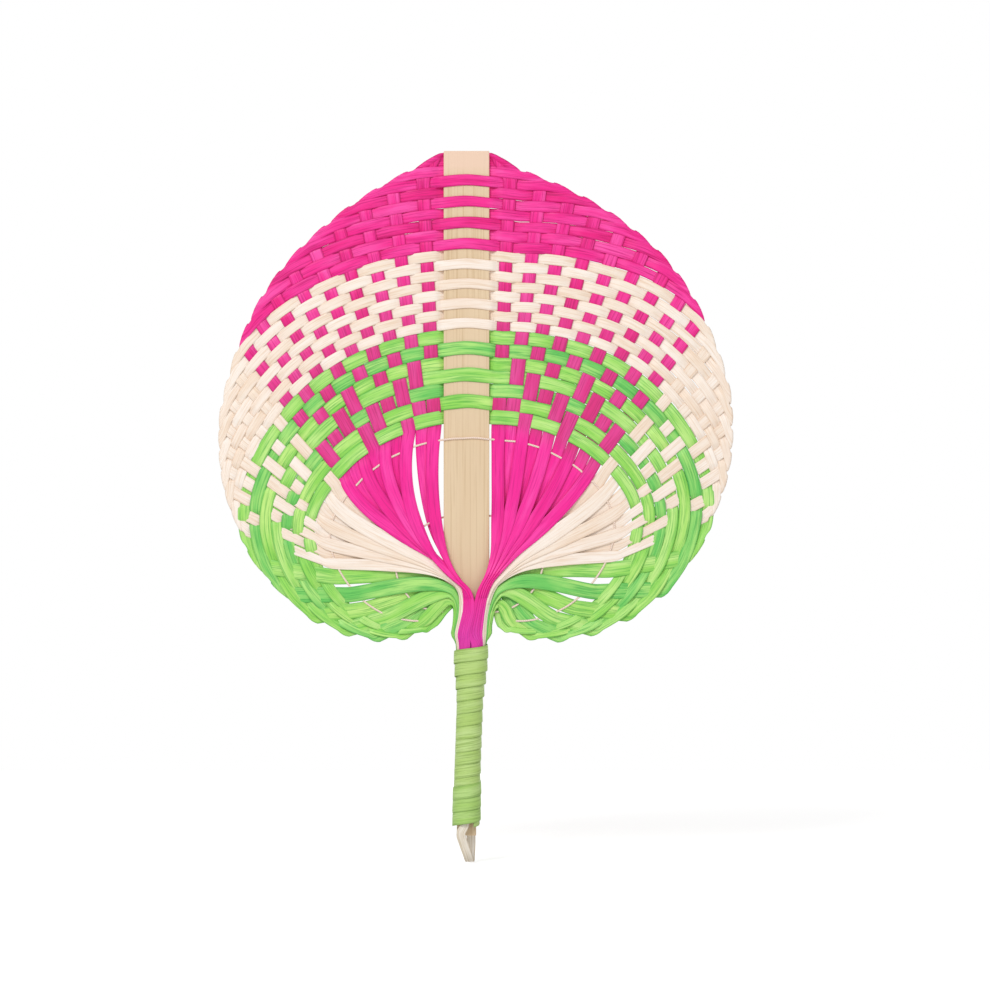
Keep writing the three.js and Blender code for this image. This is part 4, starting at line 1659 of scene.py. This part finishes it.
@dataclass
class Slat:
    """The flat bamboo slat, with rounded edges, tapering to the tang inside the grip."""

    weaver: Weaver
    tip: float = 248.2
    tip_step: float = 4.0
    shoulder: float = 66.0
    tang_top: float = 54.0
    tang_width: float = 8.2
    bottom: float = -42.7
    edge_radius: float = 0.35
    edge_segments: int = 3
    blade_levels: int = 24
    shoulder_levels: int = 6
    tang_levels: int = 16

    def outline(self) -> list[tuple[float, float]]:
        """Draw the slat's outline.

        Returns:
            Points as x and z, down the right side and up the left one.
        """
        width = self.weaver.layout.slat_width / 2
        tang = self.tang_width / 2
        straight = np.linspace(self.tip - self.tip_step, self.shoulder, self.blade_levels)
        levels = [(self.tip, width)] + [(z, width) for z in straight]
        for z in np.linspace(self.shoulder, self.tang_top, self.shoulder_levels)[1:]:
            share = smooth((self.shoulder - z) / (self.shoulder - self.tang_top))
            levels.append((z, mix(width, tang, share)))
        levels += [(z, tang) for z in np.linspace(self.tang_top, self.bottom, self.tang_levels)[1:]]
        middles = [self.weaver.grip_centre(z) if half < width else 0.0 for z, half in levels]
        right = [(x + half, z) for x, (z, half) in zip(middles, levels)]
        left = [(x - half, z) for x, (z, half) in zip(middles, levels)]
        return right + left[::-1]

    def build(self) -> None:
        """Make the slat."""
        work = bmesh.new()
        y = self.weaver.layout.slat_thickness / 2 * MM
        face = work.faces.new([work.verts.new((x * MM, -y, z * MM)) for x, z in self.outline()])
        wall = bmesh.ops.extrude_face_region(work, geom=[face])
        moved = [item for item in wall["geom"] if isinstance(item, bmesh.types.BMVert)]
        bmesh.ops.translate(work, verts=moved, vec=(0, 2 * y, 0))
        bmesh.ops.recalc_face_normals(work, faces=work.faces)
        mesh = bpy.data.meshes.new("slat")
        work.to_mesh(mesh)
        work.free()
        piece = add_object("planed_slat", mesh)
        bevel = piece.modifiers.new("edges", "BEVEL")
        bevel.width = self.edge_radius * MM
        bevel.segments = self.edge_segments
        bevel.limit_method = "ANGLE"
        make_plain(piece)
        piece.data.materials.append(PlanedSlat().make())
        for polygon in piece.data.polygons:
            polygon.use_smooth = False
        place_piece(piece, "slat", "spine")


@dataclass(frozen=True)
class Winding:
    """One layer of wound strip: its node, its height, its first direction and its tones."""

    node: str
    length: float
    start_angle: float
    tones: tuple[str, str, str]


@dataclass
class Grip:
    """The strip wound round the grip, and its second layer at the bottom."""

    weaver: Weaver
    ribbon: RibbonTree
    layers: tuple[Winding, ...] = (
        Winding("grip_wrap", 77, 35, ("b3d276", "cfe6a2", "90af5a")),
        Winding("grip_wrap_end", 19, -100, ("aad070", "c8e49a", "86ac56")),
    )
    width: float = 5.7
    pitch: float = 5.45
    clearance: float = 0.42
    layer_gap: float = 0.12
    thickness: float = 0.36
    overlap_tilt: float = 0.09
    steps: int = 32
    strip_width: float = 5.0
    waver: Waver = Waver(0.06, 0.21)
    waver_seed: float = 3.0
    stain: float = 0.5
    seed: float = 4.4
    points: int = 18
    groove_depth: float = 0.1
    grooves: float = 9.4

    def winding(self, length: float, start_angle: float, outset: float) -> list[Station]:
        """Lay a strip that climbs round the grip, each turn lapping over the one below.

        Args:
            length: Height that it covers.
            start_angle: Direction in which it starts.
            outset: Distance from the bundle to the strip's middle.

        Returns:
            Its stations, the lowest first.
        """
        weaver = self.weaver
        bottom = -weaver.layout.collar_top
        turns = (length - self.strip_width) / self.pitch
        stations = []
        for index in range(round(turns * self.steps) + 1):
            turn = index / self.steps
            angle = math.radians(start_angle + turn * 360)
            z = bottom + self.strip_width / 2 + turn * self.pitch
            wide = weaver.grip_half_width(z + self.strip_width / 2) + outset
            deep = weaver.half_depth + outset
            out = unit(np.array([math.sin(angle) / wide, -math.cos(angle) / deep, 0.0]))
            middle = np.array([weaver.grip_centre(z) + wide * math.sin(angle), -deep * math.cos(angle), z])
            middle += out * self.waver.at(self.waver_seed, turn)
            across = -np.array([0.0, 0.0, self.width / 2]) + out * self.overlap_tilt
            stations.append(Station(middle, across, self.thickness / 2))
        return stations

    def build(self) -> None:
        """Make both layers."""
        outset = self.clearance + self.thickness / 2
        for layer in self.layers:
            base, light, dark = layer.tones
            finish = SplitBamboo(
                f"{layer.node}_dyed_bamboo", base, light, dark, stain=self.stain, seed=self.seed
            )
            piece = self.ribbon.sweep(
                f"wound_{layer.node}", self.winding(layer.length, layer.start_angle, outset),
                finish.make(), points=self.points, groove_depth=self.groove_depth, grooves=self.grooves,
            )
            place_piece(piece, "wrap", layer.node)
            outset = outset + self.thickness + self.layer_gap


@dataclass
class Threads:
    """The two binding threads that part the front columns from the back ones."""

    weaver: Weaver
    ribbon: RibbonTree
    radius: float = 0.42
    outer_inset: float = 9.6
    outer_end: float = 124.0
    inner_share: float = 0.45
    inner_end: float = 126.0
    step: float = 1.2
    slat_gap: float = 0.02
    slat_clearance: float = 0.3
    slat_slope: float = 2.2
    waver: Waver = Waver(0.35, 7, 1)
    waver_seed: float = 8.0
    points: int = 10

    def thread(self, name: str, points: list[np.ndarray], material: bpy.types.Material) -> bpy.types.Object:
        """Make a thread, as a ribbon as thick as it is wide.

        Args:
            name: The new object's name.
            points: The points that it follows.
            material: Its finish.

        Returns:
            The thread.
        """
        stations = []
        for index, point in enumerate(points):
            ahead = points[min(index + 1, len(points) - 1)] - points[max(index - 1, 0)]
            across = np.cross(ahead, np.array([0.0, 1.0, 0.0]))
            across *= self.radius / max(float(np.linalg.norm(across)), TINY)
            stations.append(Station(point, across, self.radius))
        return self.ribbon.sweep(name, stations, material, points=self.points, flatness=1.0)

    def ring(
        self, side: Side, radius_of: Callable[[float], float], end_angle: float, slat_depth: float
    ) -> list[np.ndarray]:
        """Lay half a thread's ring.

        Args:
            side: The half of the blade.
            radius_of: Gives the ring's radius in a direction.
            end_angle: Direction in which the thread ends.
            slat_depth: Depth at which it crosses the slat.

        Returns:
            Its points, from the slat's middle outwards.
        """
        layout = self.weaver.layout
        slat = layout.column_angle(0, radius_of(0), layout.slat_width / 2 + self.slat_clearance)
        points = []
        angle = 0.0
        while angle < end_angle:
            over = 1 - smooth((angle - slat) / self.slat_slope)
            waver = self.waver.at(self.waver_seed, angle, side.sign)
            flat = layout.point(side, angle, radius_of(angle) + waver)
            points.append(at_depth(flat, slat_depth * over))
            angle += math.degrees(self.step / radius_of(angle))
        return points

    def build(self) -> None:
        """Make both threads."""
        inner = self.weaver.layout.inner_radius
        material = TwistedCotton().make()
        over_slat = self.weaver.layout.slat_thickness / 2 + self.radius + self.slat_gap
        rings = (
            ("binding_thread_outer", lambda a: inner(a) - self.outer_inset, self.outer_end, -over_slat),
            ("binding_thread_inner", lambda a: inner(a) * self.inner_share, self.inner_end, over_slat),
        )
        for name, radius_of, end_angle, depth in rings:
            left, right = (self.ring(side, radius_of, end_angle, depth) for side in SIDES)
            piece = self.thread(f"cotton_{name}", left[:0:-1] + right, material)
            place_piece(piece, "thread", name)


@dataclass
class HangLoop:
    """The bent strip at the bottom, its tails held in the grip."""

    weaver: Weaver
    ribbon: RibbonTree
    width: float = 3.8
    thickness: float = 0.5
    drop: float = 15.4
    eye_half_depth: float = 5.1
    tail_length: float = 15.5
    tail_layer: int = 4
    bend_x: float = 1.4
    steps: int = 12
    points: int = 20
    groove_depth: float = 0.12
    grooves: float = 9.4
    roughness: float = 0.55
    seed: float = 2.2

    def route(self) -> list[Vector]:
        """Plan the loop.

        Returns:
            The points that its middle line passes, from the front tail to the back one.
        """
        weaver = self.weaver
        top = -weaver.layout.collar_top
        bottom = top - self.drop
        tail = weaver.layer_depth(self.tail_layer) + weaver.layer_pitch / 2
        tail_top = top + self.tail_length
        # Depth, height, and x on the limb in front and on the one behind.
        limbs = (
            (tail, tail_top, -0.5, 0.5),
            (tail, mix(tail_top, top, 0.5), -0.5, 0.5),
            (tail, top + 1, -0.7, 0.7),
            (self.eye_half_depth, mix(top, bottom, 0.2), -2.3, 1.7),
            (self.eye_half_depth * 0.9, mix(top, bottom, 0.48), -1.2, 1.9),
            (self.eye_half_depth * 0.65, mix(top, bottom, 0.78), 0.4, 1.7),
        )
        down = [Vector((front, -depth, z)) for depth, z, front, _ in limbs]
        up = [Vector((behind, depth, z)) for depth, z, _, behind in reversed(limbs)]
        return [*down, Vector((self.bend_x, 0, bottom + self.thickness / 2)), *up]

    def build(self) -> None:
        """Make the loop."""
        points = spline(self.route(), self.steps)
        stations = []
        for index, point in enumerate(points):
            heading = points[min(index + 1, len(points) - 1)] - points[max(index - 1, 0)]
            across = np.array([1.0, 0.0, 0.0]) - heading * heading[0] / (heading @ heading)
            across *= self.width / 2 / np.linalg.norm(across)
            stations.append(Station(point, across, self.thickness / 2))
        finish = SplitBamboo(
            "loop_natural_bamboo", "e9dfcf", "f6f0e6", "c9b79b", roughness=self.roughness, seed=self.seed
        )
        piece = self.ribbon.sweep(
            "bent_hang_loop", stations, finish.make(), points=self.points,
            groove_depth=self.groove_depth, grooves=self.grooves,
        )
        place_piece(piece, "loop", "hang_loop")


@dataclass(frozen=True)
class Lamp:
    """A soft square lamp: its name, its place and size in metres, and its power in watts."""

    name: str
    place: tuple[float, float, float]
    size: float
    power: float


@dataclass
class Studio:
    """White background, pale floor, soft light and the photograph's view.

    The lamps, the floor's reach and the view's far end are in metres.
    """

    scale: float = 0.425
    image_size: int = 990
    origin_pixel: tuple[float, float] = (466.5, 735.0)
    distance: float = 1800.0
    sensor: float = 36.0
    clip_end: float = 20.0
    sky: float = 0.46
    floor_level: float = -54.6
    floor_x: tuple[float, float] = (-0.7, 0.7)
    floor_y: tuple[float, float] = (-0.5, 0.6)
    lamps: tuple[Lamp, ...] = (
        Lamp("key", (-0.55, -1.2, 0.95), 0.6, 12.5),
        Lamp("fill", (0.9, -1.2, 0.2), 1.0, 3.2),
        Lamp("back", (0.2, 1.5, 0.6), 1.2, 8.0),
    )
    lamp_aim: tuple[float, float, float] = (0.0, 0.0, 0.12)

    def build(self) -> None:
        """Set the stage."""
        scene = bpy.context.scene
        scene.view_settings.view_transform = "Standard"
        self._camera(scene)
        self._world(scene)
        self._floor()
        for lamp in self.lamps:
            self._lamp(lamp)

    def _camera(self, scene: bpy.types.Scene) -> None:
        """Look straight at the front, with the photograph's framing.

        Args:
            scene: The scene that gets the camera.
        """
        half = self.image_size / 2
        x = (half - self.origin_pixel[0]) * self.scale
        z = (self.origin_pixel[1] - half) * self.scale
        camera = bpy.data.cameras.new("camera")
        camera.sensor_width = self.sensor
        camera.lens = self.sensor * self.distance / (self.image_size * self.scale)
        camera.clip_end = self.clip_end
        holder = add_object("camera", camera)
        holder.location = (x * MM, -self.distance * MM, z * MM)
        holder.rotation_euler = (math.radians(90), 0, 0)
        scene.camera = holder

    def _world(self, scene: bpy.types.Scene) -> None:
        """Show white behind the fan, and light it with a plain grey sky.

        Args:
            scene: The scene that gets the sky.
        """
        world = bpy.data.worlds.new("studio")
        scene.world = world
        tree = empty_tree(world)
        ray = add_node(tree, "ShaderNodeLightPath").outputs
        shown = ray["Is Camera Ray"]
        for kind in ("Is Glossy Ray", "Is Transmission Ray"):
            shown = add_node(tree, "ShaderNodeMath", {"operation": "MAXIMUM"}, i0=shown, i1=ray[kind])
        strength = add_node(tree, "ShaderNodeMapRange", Value=shown, To_Min=self.sky, To_Max=1.0)
        sky = add_node(tree, "ShaderNodeBackground", Color=(1, 1, 1, 1), Strength=strength)
        add_node(tree, "ShaderNodeOutputWorld", Surface=sky)

    def _floor(self) -> None:
        """Lay a white floor that keeps the fan's shadow."""
        mesh = bpy.data.meshes.new("floor")
        z = self.floor_level * MM
        left, right = self.floor_x
        front, back = self.floor_y
        sheet = [(left, front, z), (right, front, z), (right, back, z), (left, back, z)]
        mesh.from_pydata(sheet, [], [(0, 1, 2, 3)])
        floor = add_object("floor", mesh)
        mesh.materials.append(WhitePaper().make())

    def _lamp(self, lamp: Lamp) -> None:
        """Add a lamp aimed at the blade.

        Args:
            lamp: What it is and where.
        """
        light = bpy.data.lights.new(lamp.name, "AREA")
        light.size = lamp.size
        light.energy = lamp.power
        holder = add_object(lamp.name, light)
        holder.location = lamp.place
        aim = Vector(self.lamp_aim) - Vector(lamp.place)
        holder.rotation_euler = aim.to_track_quat("-Z", "Y").to_euler()


def main() -> None:
    """Load the frame, dress the fan and set the studio."""
    logging.basicConfig(level=logging.INFO, format="%(message)s")
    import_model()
    weaver = Weaver(Layout())
    ribbon = RibbonTree()
    Studio().build()
    Blade(weaver, ribbon).build()
    Slat(weaver).build()
    Grip(weaver, ribbon).build()
    Threads(weaver, ribbon).build()
    HangLoop(weaver, ribbon).build()


if __name__ == "__main__":
    main()
